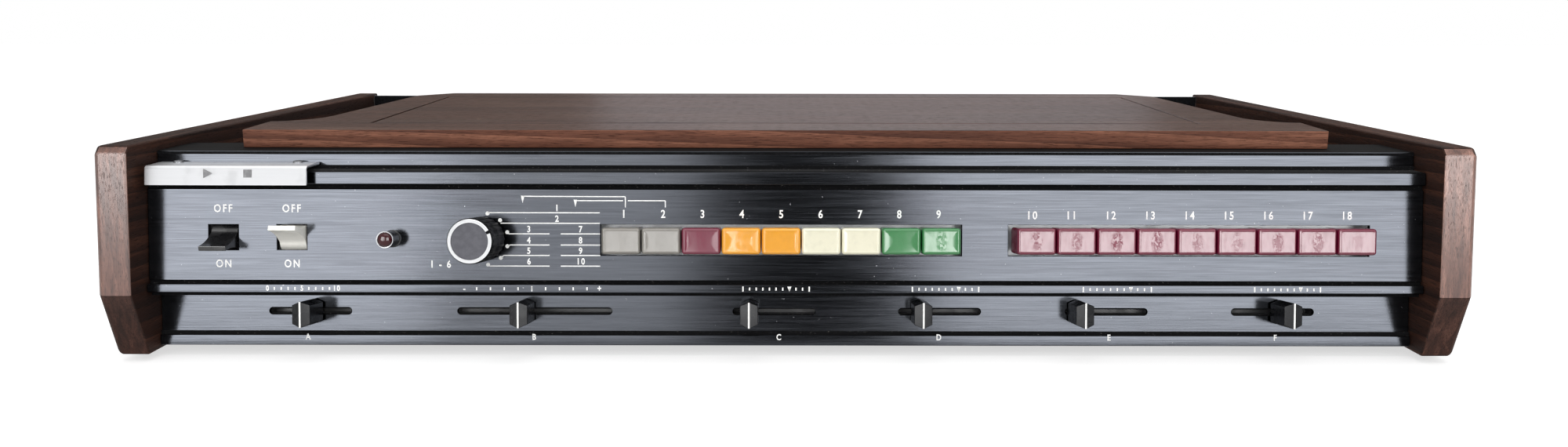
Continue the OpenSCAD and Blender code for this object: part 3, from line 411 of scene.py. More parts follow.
BRUSHED_ACROSS, POLISHED, PLATED = (0.05, 3.0, 3.0), (0.4, 0.4, 0.4), (0.3, 0.3, 0.3)
SOFTWOOD_TONES = [paint(58, 36, 24), paint(82, 54, 38), paint(104, 74, 54)]
bar_metal = bright_metal("satin_aluminium", paint(240, 241, 243), 0.3, BRUSHED_ACROSS)
chrome = bright_metal("bright_chrome", paint(226, 227, 230), 0.12, POLISHED)
steel = bright_metal("steel_screw", paint(112, 113, 116), 0.36, PLATED, depth=0.01)
zinc = bright_metal("zinc_plate", paint(176, 178, 180), 0.38, PLATED, depth=0.01)
knob_face = flecked("knob_face", paint(98, 98, 104), paint(106, 106, 112), 0.5, 0.55, shine=0.15)
enamel = flecked("black_enamel", paint(16, 16, 17), paint(26, 26, 28), 0.9, 0.6, shine=0.01)
softwood = walnut("stained_softwood", Y, SOFTWOOD_TONES, rough=0.6, shine=0.2)
board = flecked("circuit_board", paint(112, 82, 42), paint(132, 100, 56), 0.4, 0.4)
component = flecked("component_lacquer", paint(62, 82, 116), paint(140, 108, 72), 0.05, 0.35)
iron = flecked("transformer_iron", paint(62, 62, 66), paint(96, 88, 72), 0.25, 0.5, metallic=0.6)
white_print = flecked("white_print", paint(252, 252, 250), paint(240, 240, 237), 0.6, 0.5)
dark_print = flecked("grey_print", paint(118, 118, 120), paint(88, 88, 90), 0.6, 0.5)
lens_glass = plastic("red_lens", paint(58, 4, 12), 0.08, smudge=0.05, dust=0.02, shine=0.35)
print("metals, inside finishes and print made")

# %% [markdown]
# ## Building by hand
#
# Most small pieces here are one of three shapes: a stack of closed outlines joined by quads, a profile
# turned round an axis, or a profile swept straight across. `stack` makes all three from rings of points.
# Edges are then rounded with Bevel, because a real edge always shows a thin highlight.


# %% Mesh helpers
MERGE_MM, FLAT_DEGREES, SOFTEST_DEGREES = 0.003, 0.6, 16


def keep_mesh(obj):
    """Applies an object's modifiers and returns it with the plain result."""
    graph = bpy.context.evaluated_depsgraph_get()
    plain = bpy.data.meshes.new_from_object(obj.evaluated_get(graph))
    obj.modifiers.clear()
    obj.data = plain
    return obj


def new_object(name, mesh):
    obj = bpy.data.objects.new(name, mesh)
    bpy.context.scene.collection.objects.link(obj)
    return obj


def new_piece(name, points, faces, finishes, face_finish):
    mesh = bpy.data.meshes.new(name)
    mesh.from_pydata([tuple(point) for point in points], [], faces)
    for finish in finishes:
        mesh.materials.append(finish.material)
    for face, index in zip(mesh.polygons, face_finish):
        face.material_index = index
    shape = bmesh.new()
    shape.from_mesh(mesh)
    bmesh.ops.recalc_face_normals(shape, faces=shape.faces)
    shape.to_mesh(mesh)
    shape.free()
    return new_object(name, mesh)


def rounded(obj, width_mm, segments=2, angle=35, smooth=SOFTEST_DEGREES):
    """Rounds the edges that turn by more than one angle and smooths those that turn by less than another.

    The faces that Bevel makes are told apart by a spare material slot, and are smoothed too. Weighted
    normals keep the big faces flat.
    """
    spare = len(obj.data.materials)
    if width_mm:
        obj.data.materials.append(obj.data.materials[0])
        bevel = obj.modifiers.new("edge", "BEVEL")
        bevel.width, bevel.segments, bevel.material = width_mm * MM, segments, spare
        bevel.limit_method, bevel.angle_limit = "ANGLE", math.radians(angle)
        bevel.use_clamp_overlap = False
        keep_mesh(obj)
    obj.data.shade_smooth()
    obj.data.set_sharp_from_angle(angle=math.radians(smooth))
    if width_mm:
        shape = bmesh.new()
        shape.from_mesh(obj.data)
        for edge in shape.edges:
            if any(face.material_index == spare for face in edge.link_faces):
                edge.smooth = True
        for face in shape.faces:
            face.material_index = face.material_index % spare
        shape.to_mesh(obj.data)
        shape.free()
        obj.data.materials.pop()
    weigh = obj.modifiers.new("weigh", "WEIGHTED_NORMAL")
    weigh.keep_sharp, weigh.weight = True, 100
    return keep_mesh(obj)


def fit(obj, body, slot, *nodes):
    """Puts a finished piece on its body, in place of the CAD nodes that it stands for. The slot is not used.
    """
    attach(obj, body)
    if nodes:
        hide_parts(*nodes)
    return obj


print("mesh helpers ready")


# %% Stacks and sweeps
def stack(name, rings, finishes, ring_finish=None):
    """Joins rings of equally many points by quads, and closes both ends."""
    count = len(rings[0])
    points = [point for ring in rings for point in ring]
    faces, marks = [], []
    for r in range(len(rings) - 1):
        low, high = r * count, (r + 1) * count
        for i in range(count):
            j = (i + 1) % count
            faces.append((low + i, low + j, high + j, high + i))
            marks.append(ring_finish[r] if ring_finish else 0)
    faces += [tuple(range(count)), tuple(len(points) - count + i for i in range(count))]
    marks += [marks[0], marks[-1]]
    return new_piece(name, points, faces, finishes, marks)


def swept_across(name, section, from_x, to_x, finish):
    """Sweeps a section of (depth, up) points straight across the front."""
    rings = [[on_front(x, depth, up) for depth, up in section] for x in (from_x, to_x)]
    return stack(name, rings, [finish])


def swept_inwards(name, outline, depths, finish):
    """Sweeps an outline of (x, up) points square to the front, from one depth to another."""
    rings = [[on_front(x, depth, up) for x, up in outline] for depth in depths]
    return stack(name, rings, [finish])


def on_circle(radius, count=24):
    """Points evenly spaced round a circle."""
    turns = [math.tau * k / count for k in range(count)]
    return [(radius * math.cos(turn), radius * math.sin(turn)) for turn in turns]


def softened(node, width_mm, finish, slot, segments=2, name=None, body="case"):
    """A copy of a CAD node with its triangles merged and its edges rounded, which stands for the node."""
    mesh = frame["nodes"][node].data.copy()
    shape = bmesh.new()
    shape.from_mesh(mesh)
    bmesh.ops.remove_doubles(shape, verts=shape.verts, dist=MERGE_MM * MM)
    flat = math.radians(FLAT_DEGREES)
    bmesh.ops.dissolve_limit(shape, angle_limit=flat, verts=shape.verts, edges=shape.edges)
    shape.to_mesh(mesh)
    shape.free()
    mesh.materials.clear()
    mesh.materials.append(finish.material)
    for face in mesh.polygons:
        face.material_index = 0
    obj = new_object(name or node + "_finished", mesh)
    return fit(rounded(obj, width_mm, segments), body, slot, node)


print("stacks and sweeps ready")

# %% [markdown]
# ## Case: cheeks, lid and flap
#
# These have the right shape in the CAD model already. What they lack is the small rounding of a sanded edge,
# so each is copied, its triangles are merged back into flat faces and its edges are beveled. The copy stands
# for the node. Faces that look one way get a second material: the lid's front edge gets a redder walnut. A
# cheek's front and toe get copies of its walnut that are painted paler and darker as painted light and shade.

# %% Wooden case
FORWARD, TOE_SLANT = -0.7, -0.15  # a forward face's normal has a smaller y, and the toe's a smaller z


def refaced(obj, finish, chosen):
    """Gives the chosen faces of a piece a finish of their own."""
    obj.data.materials.append(finish.material)
    for face in obj.data.polygons:
        if chosen(face.normal):
            face.material_index = len(obj.data.materials) - 1
    return obj


for side in ("left", "right"):
    cheek = softened(side + "_cheek", 0.9, cheek_wood, "walnut", segments=3)
    # painted light and shade: the front faces get the paler walnut, the toe faces the darker copy
    refaced(cheek, cheek_front_painted_light_wood, lambda n: n.y < FORWARD and n.z > TOE_SLANT)
    refaced(cheek, cheek_toe_painted_lighting_wood, lambda n: n.y < FORWARD and n.z <= TOE_SLANT)
lid = softened("lid_frame", 0.5, lid_wood, "lid_walnut")
refaced(lid, lid_edge_wood, lambda n: n.y < FORWARD)
flap = softened("music_rest", 0.35, lid_wood, "lid_walnut", body="music_rest")
softened("lid_battens", 0.4, softwood, "batten_wood")

# %% [markdown]
# ## Panels, rails and sheet metal
#
# Extruded rails have crisp edges with a bright line of bare metal, so their rounding is much smaller than
# wood's. Windows are cut through the panels after brushing, so their walls are black and mirror nothing.
# The rear panel's inner face is painted for the same reason: it would shine up through the channels
# beside the lid.

# %% Metal case
STRAIGHT_AHEAD = 0.93  # a panel's front and rear faces have at least this much y in their normal
for node in ("front_panel", "lower_panel"):
    panel = softened(node, 0.18, panel_metal, "panel_aluminium")
    refaced(panel, enamel, lambda n: abs(n.y) < STRAIGHT_AHEAD)
for node in ("top_rail", "middle_rail", "tick_rail", "bottom_rail"):
    softened(node, 0.3, rail_metal, "rail_aluminium")
rear_panel = softened("rear_panel", 0.25, rear_metal, "rear_metal")
refaced(rear_panel, enamel, lambda n: n.y < FORWARD)
softened("top_cover", 0.25, enamel, "black_steel")
softened("base_plate", 0.2, enamel, "black_steel")
softened("rubber_feet", 0.8, rubber, "rubber", segments=3)
softened("output_jacks", 0.2, chrome, "chrome")
softened("cable_gland", 0.4, dark_plastic, "dark_plastic")
felt_piece = softened("felt_strips", 0.0, felt, "felt")
print("metal pieces fitted")

# %% [markdown]
# Two dark strips paint shade onto the top rail's upright face. A strip of felt rising from the rear of the
# ledge paints the shade in the joint at the face's foot, and a black strip paints the shade along its top
# edge. Each is a thin strip that leans with the face. The face is found from two CAD nodes: it starts at the
# rear of the felt's underside and ends at the rail's top.

# %% Strips on the top rail
FELT_T, SUNK, SHADE_FELT_UP, SHADE_FELT_T = 0.6, 0.02, 1.5, 0.25
EDGE_FROM, EDGE_TO, EDGE_T = 1.4, 0.28, 0.05
felt_low, felt_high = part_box("felt_strips")
ledge_top, shelf_top = felt_high.z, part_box("top_rail")[1].z


def rail_strip(name, low_z, high_z, thick_mm, finish, slot):
    """A strip from cheek to cheek on the top rail's upright face, between two levels."""
    foot_z = ledge_top - FELT_T * MM
    low_y, high_y = (felt_high.y + (z - foot_z) * math.tan(LEAN) for z in (low_z, high_z))
    out, sunk = thick_mm * MM, SUNK * MM
    section = [(low_y - out, low_z), (low_y + sunk, low_z), (high_y + sunk, high_z), (high_y - out, high_z)]
    rings = [[Vector((x, y, z)) for y, z in section] for x in (felt_low.x, felt_high.x)]
    return fit(stack(name, rings, [finish]), "case", slot)


# painted shade: a dark felt strip at the foot of the rail's upright face
painted_shade_felt = rail_strip(
    "ledge_felt_turned_up", ledge_top - SUNK * MM, ledge_top + SHADE_FELT_UP * MM, SHADE_FELT_T, felt, "felt"
)
# painted shade: a black strip along the top edge of the rail's upright face
rail_strip(
    "top_rail_shaded_edge",
    shelf_top - EDGE_FROM * MM,
    shelf_top - EDGE_TO * MM,
    EDGE_T,
    enamel,
    "black_steel",
)
print("strips on the top rail: 2")

# %% [markdown]
# ## Inside
#
# The chassis, the switch banks and the electronics keep their CAD meshes. Only their material slots
# change.

# %% Inside finishes
inside = {
    zinc: "cheek_brackets fasteners button_banks rest_prop",
    # the front chassis is black enamel, and its edge under the tick rail also paints the shade line there
    enamel: "front_chassis",
    dark_plastic: "start_switch paddle_switches rotary_switch slide_pots",
    board: "circuit_board",
    component: "circuit_components",
    iron: "power_transformer",
}
for finish, nodes in inside.items():
    for node in nodes.split():
        mesh = frame["nodes"][node].data
        for i in range(len(mesh.materials)):
            mesh.materials[i] = finish.material
print("inside nodes dressed:", sum(len(nodes.split()) for nodes in inside.values()))

# %% [markdown]
# ## Push buttons
#
# A push button's cap is a rounded rectangle with a soft rim, one millimetre wide, round a shallow tray
# for the finger. Rings of the same rounded rectangle, each a little smaller or deeper, give that shape
# exactly. The plastic is dull and coloured under a clear gloss. Grease from fingers breaks the gloss up
# in whorls round each cap's middle, so it is Coat Weight that changes there, and the much-used caps have
# more grease than the others.


# %% Cap finish
def cap_finish(name, colour, grease, seed, middle):
    """Cap plastic under a clear gloss that grease breaks up round the cap's middle."""
    finish = Finish(name, Specular_IOR_Level=0.15, Coat_IOR=1.62, Coat_Roughness=0.07)
    haze = finish.step(finish.noise((0.3, 0.3, 0.3), 4, (seed, 2, 5), rough=0.65), 0.46, 0.66)
    near = finish.node("ShaderNodeVectorMath", {"operation": "SUBTRACT"}, {0: finish.place, 1: middle})
    squeeze = {0: near, 1: (1.5, 0.2, 0.8)}
    squeezed = finish.node("ShaderNodeVectorMath", {"operation": "MULTIPLY"}, squeeze)
    reach = finish.node("ShaderNodeVectorMath", {"operation": "LENGTH"}, {0: squeezed}, "Value") * (1 / MM)
    whorl = finish.noise((0.55, 0.55, 0.4), 2, (seed * 1.7, 4, 1), bend=0.6)
    contour = finish.node("ShaderNodeMath", {"operation": "ABSOLUTE"}, {0: whorl - 0.5})
    smear = finish.step(contour, 0.075, 0.015) + finish.step(whorl, 0.54, 0.62) * 0.7
    ragged = reach + finish.noise((0.7, 0.7, 0.7), 3, (3, seed, 2)) * 2.6
    touched = finish.step(ragged, 5.4, 3.9)
    clamped = {"operation": "MULTIPLY", "use_clamp": True}
    matt = finish.node("ShaderNodeMath", clamped, {0: smear, 1: touched}) * grease
    streaks = finish.step(finish.noise((0.9, 0.9, 0.12), 3, (seed, 9, 4)), 0.4, 0.7)
    finish.wear(
        Base_Color=finish.mix(haze * 0.4, colour, scaled(colour, 0.88)),
        Roughness=0.3 + haze * 0.2,
        Coat_Weight=(0.76 - streaks * 0.14) * (1 - matt),
    )
    return finish


print("cap finish ready")

# %% Cap shape
BUTTON_W, BUTTON_H, CORNER, LEAST_CORNER = 15.5, 10.6, 1.2, 0.25
BUTTON_REACH, CAP_TAIL, ROW_UP = 10.0, 3.0, 16.5
STEM_W, STEM_H, STEM_CORNER, STEM_END = 6, 3.2, 0.2, 19.6
CAP_SECTION = [  # how far in from the cap's outline, and how far behind its crown
    (0.0, BUTTON_REACH + CAP_TAIL),
    (0.0, 1.5),
    (0.08, 0.98),
    (0.26, 0.58),
    (0.52, 0.28),
    (0.8, 0.09),
    (1.0, 0.0),
    (1.08, 0.03),
    (1.16, 0.1),
    (1.26, 0.13),
    (2.5, 0.17),
    (4.2, 0.19),
]


def round_rect(width, height, radius, steps=5):
    """Points round a rectangle with rounded corners."""
    points = []
    for corner, (sx, sy) in enumerate(((1, 1), (-1, 1), (-1, -1), (1, -1))):
        hub_x, hub_y = sx * (width / 2 - radius), sy * (height / 2 - radius)
        for i in range(steps + 1):
            turn = math.radians(90 * (corner + i / steps))
            points.append((hub_x + radius * math.cos(turn), hub_y + radius * math.sin(turn)))
    return points


def button_cap(node, finish, slot):
    x = middle_x(node)
    rings = []
    for inset, behind in CAP_SECTION:
        outline = round_rect(BUTTON_W - 2 * inset, BUTTON_H - 2 * inset, max(CORNER - inset, LEAST_CORNER))
        rings.append([on_front(x + px, behind - BUTTON_REACH, ROW_UP + up) for px, up in outline])
    cap = stack(node + "_cap", rings, [finish])
    outline = [(x + px, ROW_UP + up) for px, up in round_rect(STEM_W, STEM_H, STEM_CORNER, steps=1)]
    stem = swept_inwards(node + "_stem", outline, (CAP_TAIL, STEM_END), dark_plastic)
    fit(rounded(cap, 0, smooth=40), node, slot, node)
    fit(rounded(stem, 0), node, "dark_plastic")
    return cap


print("cap shape ready, points to a ring:", len(round_rect(BUTTON_W, BUTTON_H, CORNER)))

# %% Button caps
GREY, MAROON, ORANGE = paint(128, 124, 117), paint(108, 4, 44), paint(233, 158, 20)
CREAM, GREEN = paint(234, 230, 205), paint(48, 124, 66)
left_caps = [  # material slot, colour, and the share of the gloss that grease takes
    ("grey_cap", GREY, 0.2),
    ("grey_cap", GREY, 0.2),
    ("maroon_cap", MAROON, 0.4),
    ("orange_cap", ORANGE, 0.9),
    ("orange_cap", ORANGE, 0.5),
    ("cream_cap", CREAM, 0.2),
    ("cream_cap", CREAM, 0.3),
    ("green_cap", GREEN, 0.6),
    ("green_cap", GREEN, 0.85),
]
right_caps = [("maroon_cap", MAROON, grease) for grease in (0.8, 0.7, 0.95, 0.9, 0.6, 0.5, 0.85, 0.7, 0.3)]
cap_pieces = []
for side, caps, first_seed in (("left", left_caps, 1), ("right", right_caps, 12)):
    for i, (slot, colour, grease) in enumerate(caps):
        node = f"button_{side}_{i + 1}"
        middle = on_front(middle_x(node), -BUTTON_REACH, ROW_UP)
        finish = cap_finish(f"{node}_plastic", colour, grease, first_seed + i, middle)
        cap_pieces.append(button_cap(node, finish, slot))
print("button caps made:", len(cap_pieces))

# %% [markdown]
# ## Slide controls
#
# A slider's cap is pointed at its top and foot, and its front is folded along an upright ridge that
# carries a white line. The CAD solid has that form, so a softened copy does for the cap, and the line is
# a thin strip laid over the ridge. It falls away on both sides as the ridge does, and is let into the cap
# at its two ends.

# %% Sliders
SLOT_UP, CAP_REACH, LOWER_BACK, RIDGE = -13.6, 16.0, 9.4, 1.3
CAP_W, CAP_H = 7.3, 10.6
LINE_W, LINE_SHORT, LINE_SUNK = 0.7, 0.12, 0.5
half = LINE_W / 2
fall = RIDGE * LINE_W / CAP_W
tip = CAP_H / 2 - LINE_SHORT
line_section = [  # across and behind the ridge
    (-half, 0.12),
    (-half, -0.14),
    (-half * 0.5, -0.2),
    (half * 0.5, -0.2),
    (half, -0.14),
    (half, 0.12),
]
for i in range(1, 7):
    node = f"slider_{i}"
    softened(node, 0.28, slider_plastic, "black_plastic", name=node + "_cap", body=node)
    x = middle_x(node)
    rings = []
    for up, sunk in ((-tip, LINE_SUNK), (-tip, 0.0), (tip, 0.0), (tip, LINE_SUNK)):
        ridge = LOWER_BACK - CAP_REACH + fall + sunk
        rings.append([on_front(x + px, ridge + behind, SLOT_UP + up) for px, behind in line_section])
    fit(rounded(stack(node + "_line", rings, [white_print]), 0.04), node, "white_plastic")
print("sliders made: 6")

# %% [markdown]
# Behind each slot two lips of felt keep the dust out and leave a slit for the lever. A slot doesn't move
# with its cap, so its middle is the cap's place less the setting at which the slider was left.

# %% Slot felt
SETTINGS = (2, -3.5, -10, -8.5, -12.5, 2.3)
SHORT_SLOT_W, LONG_SLOT_W, LONG_SLOT = 34.2, 64.2, 2
END_GAP = 0.1
# behind the lower panel, and off the slot's middle
lip_section = [(0.9, 1.44), (0.7, 0.96), (1.3, 0.9), (1.9, 1.44)]
slot_middles = {}
for i, setting in enumerate(SETTINGS, 1):
    slot_middles[i] = middle_x(f"slider_{i}") - setting
    half = (LONG_SLOT_W if i == LONG_SLOT else SHORT_SLOT_W) / 2 - END_GAP
    for edge, way in (("lower", -1), ("upper", 1)):
        section = [(LOWER_BACK + behind, SLOT_UP + way * up) for behind, up in lip_section]
        ends = slot_middles[i] - half, slot_middles[i] + half
        fit(swept_across(f"slot_felt_{i}_{edge}", section, *ends, felt), "case", "felt")
print("slots at", [round(x, 1) for x in slot_middles.values()])

# %% [markdown]
# ## Geometry Nodes
#
# Ribs, screws, ticks and lint repeat, so Geometry Nodes set them out. Each tree below is built by the
# same two helpers: one makes an empty tree with named inputs, the other runs it on a mesh, keeps the
# plain result and drops the empty material slot that Set Material can leave in front.


# %% Tree helpers
def node_tree(name, inputs):
    """A Geometry Nodes tree with a mesh input, named inputs and a mesh output."""
    tree = bpy.data.node_groups.new(name, "GeometryNodeTree")
    tree.interface.new_socket(name="Mesh", in_out="INPUT", socket_type="NodeSocketGeometry")
    for label, kind in inputs.items():
        tree.interface.new_socket(name=label, in_out="INPUT", socket_type="NodeSocket" + kind)
    tree.interface.new_socket(name="Mesh", in_out="OUTPUT", socket_type="NodeSocketGeometry")
    entry, leave = tree.nodes.new("NodeGroupInput"), tree.nodes.new("NodeGroupOutput")

    def add(kind, settings=(), sockets=()):
        whole = kind if kind.startswith(("Function", "Shader")) else "GeometryNode" + kind
        made = tree.nodes.new(whole)
        for key, value in dict(settings).items():
            setattr(made, key, value)
        for key, value in dict(sockets).items():
            if isinstance(value, bpy.types.NodeSocket):
                tree.links.new(value, made.inputs[key])
            else:
                made.inputs[key].default_value = value
        return made

    def leave_with(points, instance, rotation, moved=()):
        """Sets a copy on every point, makes the copies real, gives them the finish and ends the tree."""
        copies = {"Points": points, "Instance": instance, "Rotation": rotation.outputs[0]}
        last = add("InstanceOnPoints", {}, copies)
        last = add("RealizeInstances", {}, {"Geometry": last.outputs[0]})
        if moved:
            last = add("Transform", {}, {"Geometry": last.outputs[0], **dict(moved)})
        painted = {"Geometry": last.outputs[0], "Material": entry.outputs["Finish"]}
        last = add("SetMaterial", {}, painted)
        tree.links.new(last.outputs[0], leave.inputs[0])
        return tree

    return entry.outputs, add, leave_with


def grow(name, tree, values, mesh=None):
    """Runs a tree on a mesh and returns the plain result as a piece."""
    obj = new_object(name, mesh or bpy.data.meshes.new(name))
    modifier = obj.modifiers.new("grow", "NODES")
    modifier.node_group = tree
    for item in tree.interface.items_tree:
        if item.in_out == "INPUT" and item.name in values:
            modifier[item.identifier] = values[item.name]
    made = keep_mesh(obj).data
    worn = [made.materials[face.material_index] for face in made.polygons]
    kept = [material for material in made.materials if material]
    made.materials.clear()
    for material in kept:
        made.materials.append(material)
    for face, material in zip(made.polygons, worn):
        face.material_index = kept.index(material)
    return obj


print("tree helpers ready")

# %% [markdown]
# ## Variation knob
#
# The knob is turned: a profile of radius and depth, spun about an axis that stands square on the panel.
# Its front is a dull disc inside a bright ring, and a gap in the ring shows where the knob points. The
# ring is a section carried nearly all the way round, so the gap is real and turns with the knob. Ribs
# round the grip repeat, so they are one box set on every point of a circle.


# %% Turned shapes
def turned(name, x, up, profile, finishes, ring_finish=None, steps=64):
    """Spins (radius, depth) pairs about an axis square on the panel."""
    rings = []
    for radius, depth in profile:
        circle = on_circle(radius, steps)
        rings.append([on_front(x + across, depth, up + rise) for across, rise in circle])
    return stack(name, rings, finishes, ring_finish)


def from_crown(reach, profile):
    """Turns (radius, how far behind the crown) pairs into (radius, depth) pairs."""
    return [(radius, behind - reach) for radius, behind in profile]


print("turned shapes ready")

# %% Knob
KNOB_REACH = 21.5
SHAFT_R, SHAFT_END, SMOOTH_ROUND = 3.0, 15.5, 30
knob_x = knob_joint["pos_m"][0] / MM
skirt = [(SHAFT_R, 0.0), (SHAFT_R, -5.0), (5.3, -5.0), (5.3, -0.8), (8.55, -0.8), (8.7, -1.2)]
nose = [(8.7, 2.2), (8.95, 1.9), (9.0, 0.75), (8.86, 0.4), (8.6, 0.12), (7.3, 0.12), (7.22, 0.3), (0.4, 0.3)]
grip_profile = skirt + from_crown(KNOB_REACH, nose)
marks = [0] * (len(grip_profile) - 2) + [1]
grip_finishes = [knob_plastic, knob_face]
grip_piece = turned("variation_knob_grip", knob_x, KNOB_UP, grip_profile, grip_finishes, marks, 72)
fit(rounded(grip_piece, 0, smooth=SMOOTH_ROUND), "variation_knob", "black_plastic", "variation_knob")
shaft_profile = [(SHAFT_R, 0.2), (SHAFT_R, SHAFT_END)]
shaft = turned("variation_knob_shaft", knob_x, KNOB_UP, shaft_profile, [zinc], steps=32)
fit(rounded(shaft, 0, smooth=SMOOTH_ROUND), "variation_knob", "zinc")
print("knob at", round(knob_x, 1))

# %% Knob ring
GAP_AT, GAP_WIDE, RING_STEPS = 26, 9, 72
ring_outline = [(7.28, 0.2), (7.28, -0.02), (7.5, -0.08), (8.45, -0.04), (8.62, 0.1), (8.6, 0.2)]
ring_section = from_crown(KNOB_REACH, ring_outline)
bars = []
for step in range(RING_STEPS + 1):
    turn = math.radians(GAP_AT + GAP_WIDE / 2 + (360 - GAP_WIDE) * step / RING_STEPS)
    across, rise = math.cos(turn), math.sin(turn)
    bars.append([on_front(knob_x + r * across, depth, KNOB_UP + r * rise) for r, depth in ring_section])
rim_piece = stack("variation_knob_rim", bars, [bar_metal])
fit(rounded(rim_piece, 0, smooth=SMOOTH_ROUND), "variation_knob", "bright_aluminium")
print("ring gap:", GAP_WIDE, "degrees")


# %% Knob ribs
def ring_of_ribs():
    """Ribs set round a circle, each pointing outwards, then turned to stand on the leaning panel."""
    sizes = {"Count": "Int", "Radius": "Float", "Rib_width": "Float", "Rib_depth": "Float", "Length": "Float"}
    places = {"Centre": "Vector", "Tilt": "Vector", "Finish": "Material"}
    given, add, leave_with = node_tree("ribs round a grip", sizes | places)
    circle = add("MeshCircle", {}, {"Vertices": given["Count"], "Radius": given["Radius"]})
    edges = {0: given["Rib_depth"], 1: given["Rib_width"], 2: given["Length"]}
    size = add("ShaderNodeCombineXYZ", {}, edges)
    rib = add("MeshCube", {}, {"Size": size.outputs[0]})
    place = add("InputPosition")
    aim = add("FunctionNodeAlignRotationToVector", {"axis": "X"}, {"Vector": place.outputs[0]})
    moved = {"Translation": given["Centre"], "Rotation": given["Tilt"]}
    return leave_with(circle.outputs[0], rib.outputs[0], aim, moved)


ribs = grow(
    "variation_knob_ribs",
    ring_of_ribs(),
    {
        "Count": 24,
        "Radius": 8.72 * MM,
        "Rib_width": 1.15 * MM,
        "Rib_depth": 0.7 * MM,
        "Length": 17.6 * MM,
        "Centre": on_front(knob_x, -10.6, KNOB_UP),
        "Tilt": (math.radians(90) - LEAN, 0, 0),
        "Finish": knob_plastic.material,
    },
)
fit(rounded(ribs, 0.22), "variation_knob", "black_plastic")
print("rib faces:", len(ribs.data.polygons))

# %% [markdown]
# ## Pilot lamp
#
# The lamp is turned as well: a black barrel with a bright rolled lip, and a red lens whose dome is a
# quarter of an ellipse.

# %% Lamp
LAMP_REACH, LENS_R, LENS_RISE = 9.6, 2.85, 1.9
LENS_SEAT = 0.5
lamp_x = middle_x("lamp_bezel")
collar = [(2.9, 10.0), (2.9, 0.0), (3.6, 0.0), (3.6, -0.8), (3.3, -1.0)]
lip = [(3.3, 1.0), (3.42, 0.85), (3.5, 0.65), (3.5, 0.2), (3.4, 0.02), (3.2, 0.0)]
lip += [(2.98, 0.1), (2.92, 0.4), (2.9, 1.6)]
barrel = collar + from_crown(LAMP_REACH, lip)
marks = [0] * 6 + [1] * 7
bezel = turned("lamp_bezel_turned", lamp_x, KNOB_UP, barrel, [black_plastic, chrome], marks, 48)
fit(rounded(bezel, 0, smooth=SMOOTH_ROUND), "case", "chrome", "lamp_bezel")
dome = [(LENS_R, LENS_RISE), (LENS_R, LENS_SEAT)]
for degrees in range(10, 90, 10):
    turn = math.radians(degrees)
    dome.append((LENS_R * math.cos(turn), LENS_SEAT - LENS_RISE * math.sin(turn)))
lens = turned("lamp_lens_domed", lamp_x, KNOB_UP, from_crown(LAMP_REACH, dome), [lens_glass], steps=48)
fit(rounded(lens, 0, smooth=60), "case", "lens_red", "lamp_lens")
print("lamp at", round(lamp_x, 1))

# %% [markdown]
# ## Lever switches
#
# Each lever turns on a drum behind the panel. Its lip is joined to the drum by hollow curves, drawn here
# as arcs. The section is swept across the lever's width and its edges are rounded. A pin through the drum
# reaches the switch.

# %% Levers
PADDLE_UP, PIVOT, PADDLE_W, DRUM_R, THROW = 17.4, 8.0, 10.9, 7.6, 13
HOLLOW_R, ROOT, LIP, LIP_END = 20.0, (-6.7, 3.57), (-16.5, 1.0), -18.4
PIN_R, PIN_PAST = 1.2, 1.4
HOLLOW_STEPS, DRUM_STEP = 8, 12


def lever_section():
    """Points (along, up) round a level lever from its pivot. Its lip points at the player."""
    half = [(LIP_END, LIP[1])]
    for i in range(HOLLOW_STEPS + 1):
        along = LIP[0] + (ROOT[0] - LIP[0]) * i / HOLLOW_STEPS
        half.append((along, LIP[1] + HOLLOW_R - math.sqrt(HOLLOW_R**2 - (along - LIP[0]) ** 2)))
    start = int(math.degrees(math.atan2(ROOT[1], ROOT[0])))
    for degrees in range(start - 4, 0, -DRUM_STEP):
        turn = math.radians(degrees)
        half.append((DRUM_R * math.cos(turn), DRUM_R * math.sin(turn)))
    return half + [(DRUM_R, 0.0)] + [(along, -up) for along, up in reversed(half)]


def lever(node, finish, slot, throw):
    x, turn = middle_x(node), math.radians(throw)
    section = []
    for along, up in lever_section():
        depth = PIVOT + along * math.cos(turn) - up * math.sin(turn)
        section.append((depth, PADDLE_UP + along * math.sin(turn) + up * math.cos(turn)))
    body = swept_across(node + "_lever", section, x - PADDLE_W / 2, x + PADDLE_W / 2, finish)
    fit(rounded(body, 0.25, 2, 50, 25), node, slot, node)
    half = PADDLE_W / 2 + PIN_PAST
    round_pin = [(PIVOT + depth, PADDLE_UP + up) for depth, up in on_circle(PIN_R)]
    pin = swept_across(node + "_pin", round_pin, x - half, x + half, zinc)
    fit(rounded(pin, 0, smooth=SMOOTH_ROUND), node, "zinc")


lever("power_paddle", black_plastic, "black_plastic", THROW)
lever("mute_paddle", white_plastic, "white_plastic", -THROW)
print("levers made: 2")

# %% [markdown]
# ## Start bar
#
# The wide bar is bent from bright aluminium: a flange on top, a rounded brow and a lip that hangs over
# the panel. Its section is drawn with a real bend radius and swept across. Two plungers carry it, each
# under a screw.

# %% Start bar
BAR_T, BEND, INNER_BEND, BROW_PROUD = 1.2, 1.6, 0.5, 0.03
BAR_DEPTH, BAR_FOOT_UP, HEAD_RISE = -6.7, 38.4, 0.8
PLUNGER_IN, PLUNGER_BACK, PLUNGER_R = 8, 2.1, 1.5
PLUNGER_TOP, PLUNGER_FOOT = 1.0, 15.2  # how far its ends lie below the bar's top
bar_low, bar_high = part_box("start_bar")
bar_top = bar_high.z - HEAD_RISE * MM
bar_foot = on_front(0, BAR_DEPTH, BAR_FOOT_UP)
plunger_y = bar_high.y - PLUNGER_BACK * MM
plunger_xs = {"left": bar_low.x + PLUNGER_IN * MM, "right": bar_high.x - PLUNGER_IN * MM}


